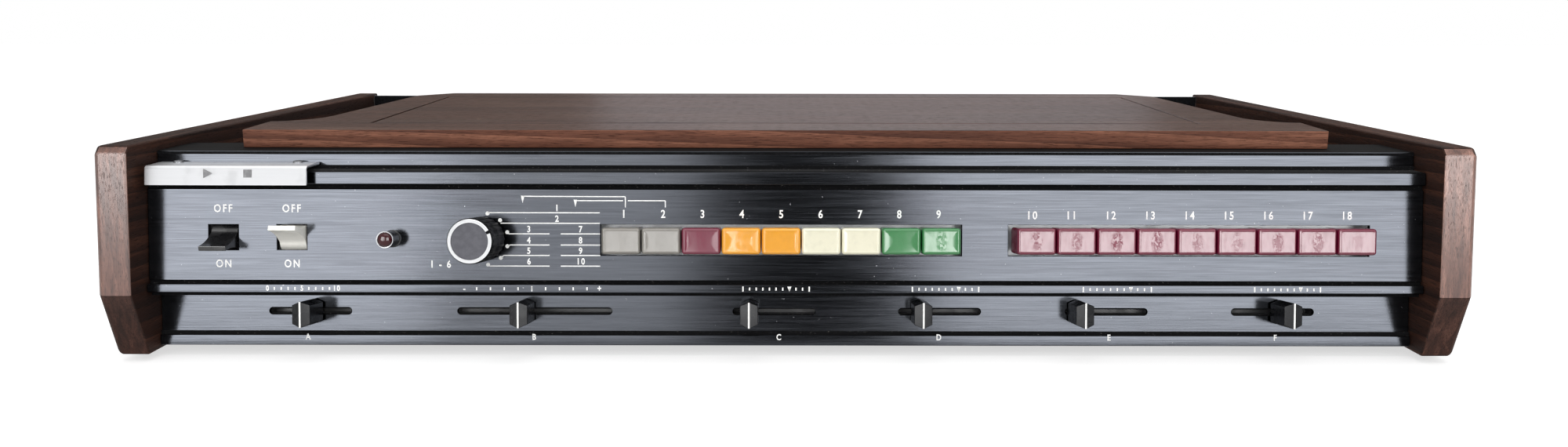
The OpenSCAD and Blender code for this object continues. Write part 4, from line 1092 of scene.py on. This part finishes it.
def bar_section():
    """Points (y, z) in metres round the bent sheet, seen from its end."""
    corner_y = bar_foot.y + (bar_top - bar_foot.z) * math.tan(LEAN) + BEND * MM
    corner_z = bar_top - BEND * MM
    outer, inner = [(bar_foot.y, bar_foot.z)], []
    for degrees in range(0, 91, 15):
        ahead, rise = math.cos(math.radians(degrees)), math.sin(math.radians(degrees))
        proud = BROW_PROUD if degrees <= 45 else 0
        outer.append((corner_y - (BEND * ahead + proud) * MM, corner_z + BEND * rise * MM))
        inner.append((corner_y - INNER_BEND * ahead * MM, corner_z + INNER_BEND * rise * MM))
    rear = [(bar_high.y, bar_top), (bar_high.y, bar_top - BAR_T * MM)]
    return outer + rear + inner[::-1] + [(bar_foot.y + BAR_T * MM, bar_foot.z)]


ends = [[Vector((x, y, z)) for y, z in bar_section()] for x in (bar_low.x, bar_high.x)]
bar = stack("start_bar_sheet", ends, [bar_metal])
fit(rounded(bar, 0.3, 2, 50, 25), "start_bar", "bright_aluminium", "start_bar")
for side, x in plunger_xs.items():
    rings = []
    for below in (PLUNGER_FOOT, PLUNGER_TOP):
        circle = on_circle(PLUNGER_R * MM)
        level = bar_top - below * MM
        rings.append([Vector((x + across, plunger_y + back, level)) for across, back in circle])
    plunger = stack(f"start_bar_plunger_{side}", rings, [zinc])
    fit(rounded(plunger, 0, smooth=SMOOTH_ROUND), "start_bar", "zinc")
print("start bar", round((bar_high.x - bar_low.x) / MM, 1), "mm wide")

# %% [markdown]
# ## Screws
#
# A pan-head screw with a cross recess is made once, then Geometry Nodes set a copy on every place where
# the CAD model has a screw head that can be seen. The places are taken from the fasteners' own solids.
# The recess is a sunk star: one point in six lies on an arm of the cross, and the points between lie near
# the middle.


# %% Screw head
HEAD_STEPS, ARM_EVERY = 24, 6
# the head from rim to crown, in shares of its radius and height
HEAD_PROFILE = [(1.0, 0.0), (1.0, 0.42), (0.9, 0.72), (0.66, 0.92), (0.42, 1.0)]
ARM_REACH, WEB_REACH, STAR_LEVEL, FLOOR_LEVEL, FLOOR_SHARE = 0.4, 0.14, 0.97, 0.35, 0.8


def screw_mesh(radius, height):
    """A pan head with a cross recess, on the origin, its axis along +Z."""
    shape = bmesh.new()

    def ring(reaches, level):
        points = zip(on_circle(radius, HEAD_STEPS), reaches)
        return [shape.verts.new((x * reach, y * reach, height * level)) for (x, y), reach in points]

    def bridge(low, high):
        for k in range(HEAD_STEPS):
            after = (k + 1) % HEAD_STEPS
            shape.faces.new((low[k], low[after], high[after], high[k]))

    rings = [ring([share] * HEAD_STEPS, level) for share, level in HEAD_PROFILE]
    star = [WEB_REACH if k % ARM_EVERY else ARM_REACH for k in range(HEAD_STEPS)]
    rings.append(ring(star, STAR_LEVEL))
    rings.append(ring([reach * FLOOR_SHARE for reach in star], FLOOR_LEVEL))
    for low, high in zip(rings, rings[1:]):
        bridge(low, high)
    shape.faces.new(rings[0][::-1])
    shape.faces.new(rings[-1])
    mesh = bpy.data.meshes.new("screw_head")
    shape.to_mesh(mesh)
    shape.free()
    return mesh


def at_places():
    """One copy of a fitting on every vertex of a mesh, turned by one rotation."""
    inputs = {"Fitting": "Object", "Turn": "Vector", "Finish": "Material"}
    given, add, leave_with = node_tree("fittings at places", inputs)
    fitting = add("ObjectInfo", {}, {"Object": given["Fitting"]})
    turn = add("FunctionNodeEulerToRotation", {}, {0: given["Turn"]})
    return leave_with(given["Mesh"], fitting.outputs["Geometry"], turn)


places_tree = at_places()


def screws(name, places, turn, radius, height, finish, body):
    template = new_object("screw_template", screw_mesh(radius * MM, height * MM))
    points = bpy.data.meshes.new(name)
    points.from_pydata([tuple(place) for place in places], [], [])
    values = {"Fitting": template, "Turn": turn, "Finish": finish.material}
    made = grow(name, places_tree, values, points)
    bpy.data.objects.remove(template)
    return fit(rounded(made, 0, smooth=SMOOTH_ROUND), body, "zinc")


print("screw head ready")


# %% Screws in their places
def solids_of(node):
    """Lowest and highest corner of each separate solid in a CAD node."""
    shape = bmesh.new()
    shape.from_mesh(frame["nodes"][node].data)
    bmesh.ops.remove_doubles(shape, verts=shape.verts, dist=MERGE_MM * MM)
    left, boxes = set(shape.verts), []
    while left:
        seed = left.pop()
        group, queue = [seed], [seed]
        while queue:
            for edge in queue.pop().link_edges:
                for vert in edge.verts:
                    if vert in left:
                        left.discard(vert)
                        group.append(vert)
                        queue.append(vert)
        low = Vector([min(vert.co[i] for vert in group) for i in range(3)])
        high = Vector([max(vert.co[i] for vert in group) for i in range(3)])
        boxes.append((low, high))
    shape.free()
    return boxes


REAR_HEAD_R, REAR_HEAD_T, REAR_PROUD = 3.0, 1.75, 0.5
BAR_HEAD_R, BAR_HEAD_T = 2.0, 0.8
fastener_boxes = solids_of("fasteners")
rear_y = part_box("rear_panel")[1].y
places = []
for low, high in fastener_boxes:
    if high.y > rear_y + REAR_PROUD * MM:
        places.append(Vector(((low.x + high.x) / 2, rear_y, (low.z + high.z) / 2)))
backwards = (math.radians(-90), 0, 0)
screws("rear_screw_heads", places, backwards, REAR_HEAD_R, REAR_HEAD_T, zinc, "case")
bar_places = [Vector((x, plunger_y, bar_top)) for x in plunger_xs.values()]
screws("start_bar_screw_heads", bar_places, (0, 0, 0), BAR_HEAD_R, BAR_HEAD_T, steel, "start_bar")
print("fasteners:", len(fastener_boxes), "rear screws:", len(places))

# %% [markdown]
# ## Print on the panel
#
# The panel is silk-screened in white: tick scales, leader lines from the knob's dots, small triangles,
# and plain numbers and letters that name the controls. Print is paint a few hundredths of a millimetre
# thick, so it is real geometry laid just over the metal. Tick marks repeat, so Geometry Nodes set them in
# a row.

# %% Ticks in rows
PRINT_LIFT, PRINT_T = 0.02, 0.03
RAIL_FACE, TICK_UP = -1.7, -3.3
TICK_W, TICK_H, SHORT_TICK_H, LONG_TICK_H = 0.55, 1.25, 1.2, 2.1
printed = []


def marks_in_a_row():
    inputs = {"Count": "Int", "First": "Vector", "Step": "Vector", "Size": "Vector", "Tilt": "Vector"}
    given, add, leave_with = node_tree("marks in a row", inputs | {"Finish": "Material"})
    spread = {"Count": given["Count"], "Start Location": given["First"], "Offset": given["Step"]}
    line = add("MeshLine", {"mode": "OFFSET"}, spread)
    mark = add("MeshCube", {}, {"Size": given["Size"]})
    turn = add("FunctionNodeEulerToRotation", {}, {0: given["Tilt"]})
    return leave_with(line.outputs[0], mark.outputs[0], turn)


row_tree = marks_in_a_row()


def tick_row(name, first_x, step_mm, count, height):
    """Ticks in a row on the rail under the main panel."""
    values = {
        "Count": count,
        "First": on_front(first_x, RAIL_FACE - PRINT_LIFT, TICK_UP),
        "Step": (step_mm * MM, 0, 0),
        "Size": (TICK_W * MM, PRINT_T * MM, height * MM),
        "Tilt": (-LEAN, 0, 0),
        "Finish": white_print.material,
    }
    printed.append(grow(name, row_tree, values))


VOLUME_FIRST, VOLUME_STEP = -207.5, 2.8
TEMPO_FIRST, TEMPO_STEP = -125.4, 5.6
SCALES = {3: (-17.3, 2.69), 4: (51.5, 2.69), 5: (120.9, 2.76), 6: (190.5, 2.67)}  # first tick and step
tick_row("ticks_volume_low", VOLUME_FIRST, VOLUME_STEP, 4, TICK_H)
tick_row("ticks_volume_high", VOLUME_FIRST + 5 * VOLUME_STEP, VOLUME_STEP, 4, TICK_H)
tick_row("ticks_tempo", TEMPO_FIRST, TEMPO_STEP, 9, TICK_H)
tick_row("ticks_tempo_middle", TEMPO_FIRST + 4 * TEMPO_STEP, TEMPO_STEP, 1, LONG_TICK_H)
for i, (first, step_mm) in SCALES.items():
    tick_row(f"ticks_scale_{i}", first + step_mm, step_mm, 9, SHORT_TICK_H)
    tick_row(f"ticks_ends_scale_{i}", first, 10 * step_mm, 2, LONG_TICK_H)
print("tick rows:", len(printed))

# %% [markdown]
# Lines and triangles are thin flat strips. Numbers are Blender text, turned into a mesh before it is
# placed on the panel, so that a finished piece still sits at the origin.


# %% Lines, triangles and text
PRINT_NEAR, PRINT_FAR = PRINT_LIFT - PRINT_T / 2, PRINT_LIFT + PRINT_T / 2
LINE_T, DOT_STEPS = 0.4, 20
TEXT_SCALE, TEXT_SQUEEZE, TEXT_WEIGHT, TEXT_SPACING = 1.38, 0.84, 0.09, 1.3


def flat_print(outline, depth=0.0):
    printed.append(swept_inwards("print", outline, (depth - PRINT_NEAR, depth - PRINT_FAR), white_print))


def strip(x0, up0, x1, up1):
    """A printed line between two points on the panel."""
    run = Vector((x1 - x0, up1 - up0))
    side = Vector((-run.y, run.x)).normalized() * LINE_T / 2
    start = [(x0 + side.x, up0 + side.y), (x0 - side.x, up0 - side.y)]
    flat_print(start + [(x1 - side.x, up1 - side.y), (x1 + side.x, up1 + side.y)])


def dot(x, up, radius):
    flat_print([(x + across, up + rise) for across, rise in on_circle(radius, DOT_STEPS)])


def pointer(x, up, width=1.7, height=2.0, depth=0.0):
    """A triangle that points down."""
    high, low = up + height / 2, up - height / 2
    flat_print([(x - width / 2, high), (x + width / 2, high), (x, low)], depth)


def words(text, x, up, size, depth=0.0):
    curve = bpy.data.curves.new("words", "FONT")
    curve.body, curve.align_x, curve.align_y = text, "CENTER", "CENTER"
    curve.size = size * TEXT_SCALE * MM
    curve.offset = TEXT_WEIGHT * MM
    curve.extrude = PRINT_T / 2 * MM
    curve.space_character = TEXT_SPACING
    curve.resolution_u = 3
    curve.materials.append(white_print.material)
    obj = new_object("words", curve)
    graph = bpy.context.evaluated_depsgraph_get()
    mesh = bpy.data.meshes.new_from_object(obj.evaluated_get(graph))
    bpy.data.objects.remove(obj)
    upright = Matrix.Rotation(math.radians(90) - LEAN, 4, "X")
    place = Matrix.Translation(on_front(x, depth - PRINT_LIFT, up)) @ upright
    mesh.transform(place @ Matrix.Diagonal((TEXT_SQUEEZE, 1, 1, 1)))
    printed.append(new_object("words", mesh))


print("print tools ready")

# %% [markdown]
# The knob's list was measured in the photograph, so its places are typed in the photograph's pixels and
# turned into millimetres on the panel. The panel is so nearly flat on that one scale does for it, and
# another for the lowest rail, which lies farther back.

# %% Lists and lines
MIDDLE_PX, PX_TO_MM_ACROSS = 1003.7, 3.137
LEVEL_PX, PX_TO_MM_UP = 358, 3.14
DOTS_PX = [(623.5, 272.6), (639.5, 281.2), (648.5, 296.5), (648.5, 314.5), (640, 329.4), (623.8, 338)]
ROWS_PX = [271.5, 285.2, 298.6, 312.8, 326.2, 339.8]
FIRST_COLUMN_PX, SECOND_COLUMN_PX = (712, 712, 676, 676, 676, 676), 742
LEADERS_PX = [  # left, top, right and bottom of each line, from dot to list and from list to button
    (624, 271.6, 766.6, 271.6),
    (640, 285, 766.6, 285),
    (716.7, 298.6, 767, 298.6),
    (716.7, 312.8, 767, 312.8),
    (716.7, 326.2, 767, 326.2),
    (716.7, 339.8, 767, 339.8),
    (650, 298.6, 702.3, 298.6),
    (652, 312.8, 702.3, 312.8),
    (648.5, 314.5, 652, 312.8),
    (644, 326.2, 702.3, 326.2),
    (640, 329.4, 644, 326.2),
    (624, 339.8, 702.3, 339.8),
    (668.4, 250.6, 799.3, 251),
    (799.3, 251, 799.3, 264.6),
    (735.3, 256.1, 796.5, 256.1),
    (802.5, 256.1, 850.2, 256.1),
    (850.2, 256.1, 850.2, 264.6),
]
POINTERS_PX = [(668.4, 254.6), (735.6, 259.6)]
ABOVE_ROW_PX, DOT_R = 5.6, 0.8


def px_x(pixel):
    """Across the main panel, from the photograph's pixels."""
    return (pixel - MIDDLE_PX) / PX_TO_MM_ACROSS


def px_up(pixel):
    """Up the main panel, from the photograph's pixels."""
    return (LEVEL_PX - pixel) / PX_TO_MM_UP


for x, y in DOTS_PX:
    dot(px_x(x), px_up(y), DOT_R)
for x0, y0, x1, y1 in LEADERS_PX:
    strip(px_x(x0), px_up(y0), px_x(x1), px_up(y1))
for x, y in POINTERS_PX:
    pointer(px_x(x), px_up(y), 1.4, 3.0)
for i, (column, row) in enumerate(zip(FIRST_COLUMN_PX, ROWS_PX), 1):
    words(str(i), px_x(column), px_up(row - ABOVE_ROW_PX), 2.6)
for i, row in enumerate(ROWS_PX[2:], 7):
    words(str(i), px_x(SECOND_COLUMN_PX), px_up(row - ABOVE_ROW_PX), 2.6)
print("print pieces:", len(printed))

# %% Numbers and letters
LEFT_NUMBERS_PX, RIGHT_NUMBERS_PX, OFF_PX, ON_PX = 273.5, 274.5, 267, 337.5
KNOB_NOTE_PX = (563, 338)
VOLUME_TEXTS, TEMPO_TEXTS = {"0": -210.3, "5": -196.3, "10": -182.3}, {"-": -130.4, "+": -75.6}
MARKED_TICK = 7
LETTERS_PX, LETTER_MIDDLE_PX, LETTER_PX_TO_MM = (395, 683, 995, 1199, 1416, 1628), 1003.5, 3.074
LOW_RAIL_FACE, LOW_RAIL_UP = 7.9, -24.3
for i in range(1, 10):
    words(str(i), middle_x(f"button_left_{i}"), px_up(LEFT_NUMBERS_PX), 3.3)
    words(str(i + 9), middle_x(f"button_right_{i}"), px_up(RIGHT_NUMBERS_PX), 3.3)
for node in ("power_paddle", "mute_paddle"):
    words("OFF", middle_x(node), px_up(OFF_PX), 3.2)
    words("ON", middle_x(node), px_up(ON_PX), 3.2)
words("1 - 6", px_x(KNOB_NOTE_PX[0]), px_up(KNOB_NOTE_PX[1]), 3.0)
for text, x in VOLUME_TEXTS.items():
    words(text, x, TICK_UP, 2.2, RAIL_FACE)
for text, x in TEMPO_TEXTS.items():
    words(text, x, TICK_UP, 2.6, RAIL_FACE)
for first, step_mm in SCALES.values():
    pointer(first + MARKED_TICK * step_mm, TICK_UP, depth=RAIL_FACE)
for letter, pixel in zip("ABCDEF", LETTERS_PX):
    words(letter, (pixel - LETTER_MIDDLE_PX) / LETTER_PX_TO_MM, LOW_RAIL_UP, 2.5, LOW_RAIL_FACE)
print("print pieces:", len(printed))

# %% [markdown]
# All the print rides on the case, so it is joined into one mesh. The bar's own mark is grey, and it rides
# with the bar: a triangle for start and a square for stop.


# %% Join the print
def join(name, objects, finish):
    """One mesh from many of one finish, each already in its place."""
    shape = bmesh.new()
    for obj in objects:
        shape.from_mesh(obj.data)
        bpy.data.objects.remove(obj)
    for face in shape.faces:
        face.material_index = 0
    mesh = bpy.data.meshes.new(name)
    shape.to_mesh(mesh)
    shape.free()
    mesh.materials.append(finish.material)
    return new_object(name, mesh)


MARK_UP, MARK_DEPTHS = 43.2, (BAR_DEPTH + 0.02, BAR_DEPTH - 0.03)
bar_middle = (bar_low.x + bar_high.x) / 2 / MM
bar_marks = []
for mark_x, outline in (
    (bar_middle - 7, [(-1.7, 1.9), (-1.7, -1.9), (1.9, 0)]),
    (bar_middle + 9, [(-1.6, 1.6), (-1.6, -1.6), (1.6, -1.6), (1.6, 1.6)]),
):
    placed = [(mark_x + x, MARK_UP + up) for x, up in outline]
    bar_marks.append(swept_inwards("bar_mark", placed, MARK_DEPTHS, dark_print))
fit(join("panel_print", printed, white_print), "case", "white_plastic")
fit(join("start_bar_marks", bar_marks, dark_print), "start_bar", "dark_plastic")
print("print joined")

# %% [markdown]
# ## Lint on the felt
#
# Old felt sheds. Short pale fibres lie on the joints and the ledge, so Geometry Nodes scatter a few
# hundred thin slivers over the felt's faces with a fixed seed.


# %% Lint
def scatter_lint():
    inputs = {"Per_square_metre": "Float", "Seed": "Int", "Size": "Vector", "Finish": "Material"}
    given, add, leave_with = node_tree("lint on felt", inputs)
    density = {"Mesh": given["Mesh"], "Density": given["Per_square_metre"], "Seed": given["Seed"]}
    spread = add("DistributePointsOnFaces", {}, density)
    sliver = add("MeshCube", {}, {"Size": given["Size"]})
    turn = add("FunctionNodeRandomValue", {"data_type": "FLOAT_VECTOR"}, {"Seed": given["Seed"]})
    turn.inputs["Min"].default_value = (-0.5, -0.5, -0.5)
    turn.inputs["Max"].default_value = (0.5, 0.5, 0.5)
    aim = add("FunctionNodeEulerToRotation", {}, {0: turn.outputs[0]})
    return leave_with(spread.outputs[0], sliver.outputs[0], aim)


lint_finish = flecked("lint", paint(120, 118, 116), paint(168, 164, 160), 2.0, 0.9)
lint = grow(
    "felt_lint",
    scatter_lint(),
    {
        "Per_square_metre": 26000.0,
        "Seed": 4,
        "Size": (0.5 * MM, 0.07 * MM, 0.07 * MM),
        "Finish": lint_finish.material,
    },
    felt_piece.data.copy(),
)
fit(lint, "case", "felt")
print("lint faces:", len(lint.data.polygons))

# %% [markdown]
# ## Studio
#
# The instrument stands on a white floor in soft light. The floor and the world are white to the camera
# and to gloss, and dimmer as lamps, so that the object keeps its own colours.

# %% Floor and world
FLOOR_HALF = 4
WHITE_TO_EYES, BLACK = paint(206, 206, 206), (0, 0, 0, 1)
corners = [(-FLOOR_HALF, -FLOOR_HALF, 0), (FLOOR_HALF, -FLOOR_HALF, 0)]
corners += [(FLOOR_HALF, FLOOR_HALF, 0), (-FLOOR_HALF, FLOOR_HALF, 0)]
floor_mesh = bpy.data.meshes.new("floor")
floor_mesh.from_pydata(corners, [], [(0, 1, 2, 3)])
floor = new_object("floor", floor_mesh)
floor_finish = Finish("pale_floor", Roughness=0.8, Specular_IOR_Level=0.1, Emission_Strength=1.0)
clouds = floor_finish.noise((0.004, 0.004, 0.004))
floor_finish.wear(Base_Color=floor_finish.mix(clouds, paint(192, 192, 192), paint(200, 200, 200)))
EYES = ("Is Camera Ray", "Is Glossy Ray", "Is Transmission Ray")
camera_ray, glossy_ray, through_ray = (floor_finish.node("ShaderNodeLightPath", out=kind) for kind in EYES)
eyes = camera_ray + glossy_ray + through_ray
floor_finish.wear(Emission_Color=floor_finish.mix(eyes, BLACK, WHITE_TO_EYES))
floor_mesh.materials.append(floor_finish.material)
floor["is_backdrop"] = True

world = bpy.data.worlds.new("studio")
bpy.context.scene.world = world
world.use_nodes = True
sky = world.node_tree
background = sky.nodes["Background"]
seen = sky.nodes.new("ShaderNodeLightPath")
total = seen.outputs[EYES[0]]
for kind in EYES[1:]:
    added = sky.nodes.new("ShaderNodeMath")
    added.operation, added.use_clamp = "ADD", True
    sky.links.new(total, added.inputs[0])
    sky.links.new(seen.outputs[kind], added.inputs[1])
    total = added.outputs[0]
level = sky.nodes.new("ShaderNodeMapRange")
level.inputs["To Min"].default_value, level.inputs["To Max"].default_value = 0.75, 1.0
sky.links.new(total, level.inputs["Value"])
sky.links.new(level.outputs[0], background.inputs["Strength"])
background.inputs["Color"].default_value = (1, 1, 1, 1)
print("floor and world ready")

# %% [markdown]
# ## Soft boxes and cards
#
# Metal is only as bright as what it mirrors. Two lamps light everything, from above and from the front.
# Four more soft boxes stand on both sides of the camera, and only gloss sees them, because matt paint
# needs no more light. They are many times brighter than white, which suits the dark panels and would burn
# out a bright piece, so light linking keeps the bright metal, the knob, the lid and the felt out of them.
# One narrow box lights the left row of caps alone: it stands where those caps mirror it.
#
# A dark card covers the gap between the boxes, where the photographer stood, and gives the panels their
# dark middle. Three cards stand behind the instrument for the lid, which mirrors what lies beyond it: a
# pale window between two walls.


# %% Lamps
def light_group(name, pieces, state):
    """A list of pieces that a lamp either leaves out or lights alone."""
    group = bpy.data.collections.new(name)
    for piece in pieces:
        group.objects.link(piece)
    for member in group.collection_objects:
        member.light_linking.link_state = state
    return group


def lamp(name, place, aim, width, height, watts):
    light = bpy.data.lights.new(name, "AREA")
    light.shape, light.size, light.size_y, light.energy = "RECTANGLE", width, height, watts
    obj = new_object(name, light)
    obj.location = place
    obj.rotation_euler = (Vector(aim) - Vector(place)).to_track_quat("-Z", "Y").to_euler()
    obj.visible_camera = False
    return obj


def around(azimuth, elevation, distance):
    """A point seen from the panel's middle, by its azimuth to the right of straight ahead."""
    a, e = math.radians(azimuth), math.radians(elevation)
    ahead = Vector((math.sin(a) * math.cos(e), -math.cos(a) * math.cos(e), math.sin(e)))
    return tuple(AIM + ahead * distance)


AIM = Vector((0, -0.13, 0.05))
too_bright = (bar, bezel, grip_piece, rim_piece, ribs, lid, flap, felt_piece, painted_shade_felt, lint)
left_out = light_group("left_out_of_the_boxes", too_bright, "EXCLUDE")
caps_alone = light_group("left_caps_alone", cap_pieces[:9], "INCLUDE")
lamp("top_softbox", (0.1, -0.3, 1.5), (0, 0, 0), 1.6, 1.2, 9)
fill = lamp("front_fill", (0.0, -1.7, 0.75), (0, 0, 0.05), 1.8, 0.8, 10)
fill.visible_glossy = False
for name, azimuth, elevation, distance, width, height, watts, group in (
    ("left_softbox", -36, 16, 1.6, 0.85, 1.1, 35, left_out),
    ("middle_left_softbox", -13.3, 17, 1.6, 0.41, 1.1, 6.6, left_out),
    ("narrow_softbox", -2.8, 14, 1.4, 0.036, 0.9, 2.2, caps_alone),
    ("right_softbox", 28.2, 16, 1.6, 1.15, 1.1, 42, left_out),
):
    box = lamp(name, around(azimuth, elevation, distance), AIM, width, height, watts)
    box.visible_diffuse = False
    box.light_linking.receiver_collection = group


# %% Cards
def card(name, corners, colour):
    """A dull card that only reflections see."""
    mesh = bpy.data.meshes.new(name)
    mesh.from_pydata(corners, [], [(0, 1, 2, 3)])
    mesh.materials.append(Finish(name, Base_Color=colour, Roughness=1.0, Specular_IOR_Level=0.0).material)
    obj = new_object(name, mesh)
    obj.visible_camera = obj.visible_diffuse = obj.visible_shadow = False
    obj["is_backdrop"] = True


GAP_LEFT, GAP_RIGHT, GAP_FOOT, GAP_TOP, GAP_AWAY = -3.2, 7.7, -8, 50, 1.5
WALL_Y, WALL_TOP, DULL_WALL = 1.3, 0.9, paint(132, 124, 118)
gap_corners = ((GAP_LEFT, GAP_FOOT), (GAP_RIGHT, GAP_FOOT), (GAP_RIGHT, GAP_TOP), (GAP_LEFT, GAP_TOP))
card("front_gap", [around(*corner, GAP_AWAY) for corner in gap_corners], paint(22, 22, 25))
for name, x0, x1, colour in (
    ("wall_left", -2.2, -0.3, DULL_WALL),
    ("window", -0.3, 0.6, paint(226, 222, 226)),
    ("wall_right", 0.6, 2.2, DULL_WALL),
):
    card(name, [(x0, WALL_Y, 0), (x1, WALL_Y, 0), (x1, WALL_Y, WALL_TOP), (x0, WALL_Y, WALL_TOP)], colour)
bpy.context.scene.view_settings.view_transform = "Standard"
print("studio lit")

# %% Print sizes and finish
visual_box = [list(corner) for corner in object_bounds()]
for end, visual, cad in zip(("low", "high"), visual_box, cad_box):
    print("growth in mm at the", end, "corner:", [round((v - c) / MM, 2) for v, c in zip(visual, cad)])
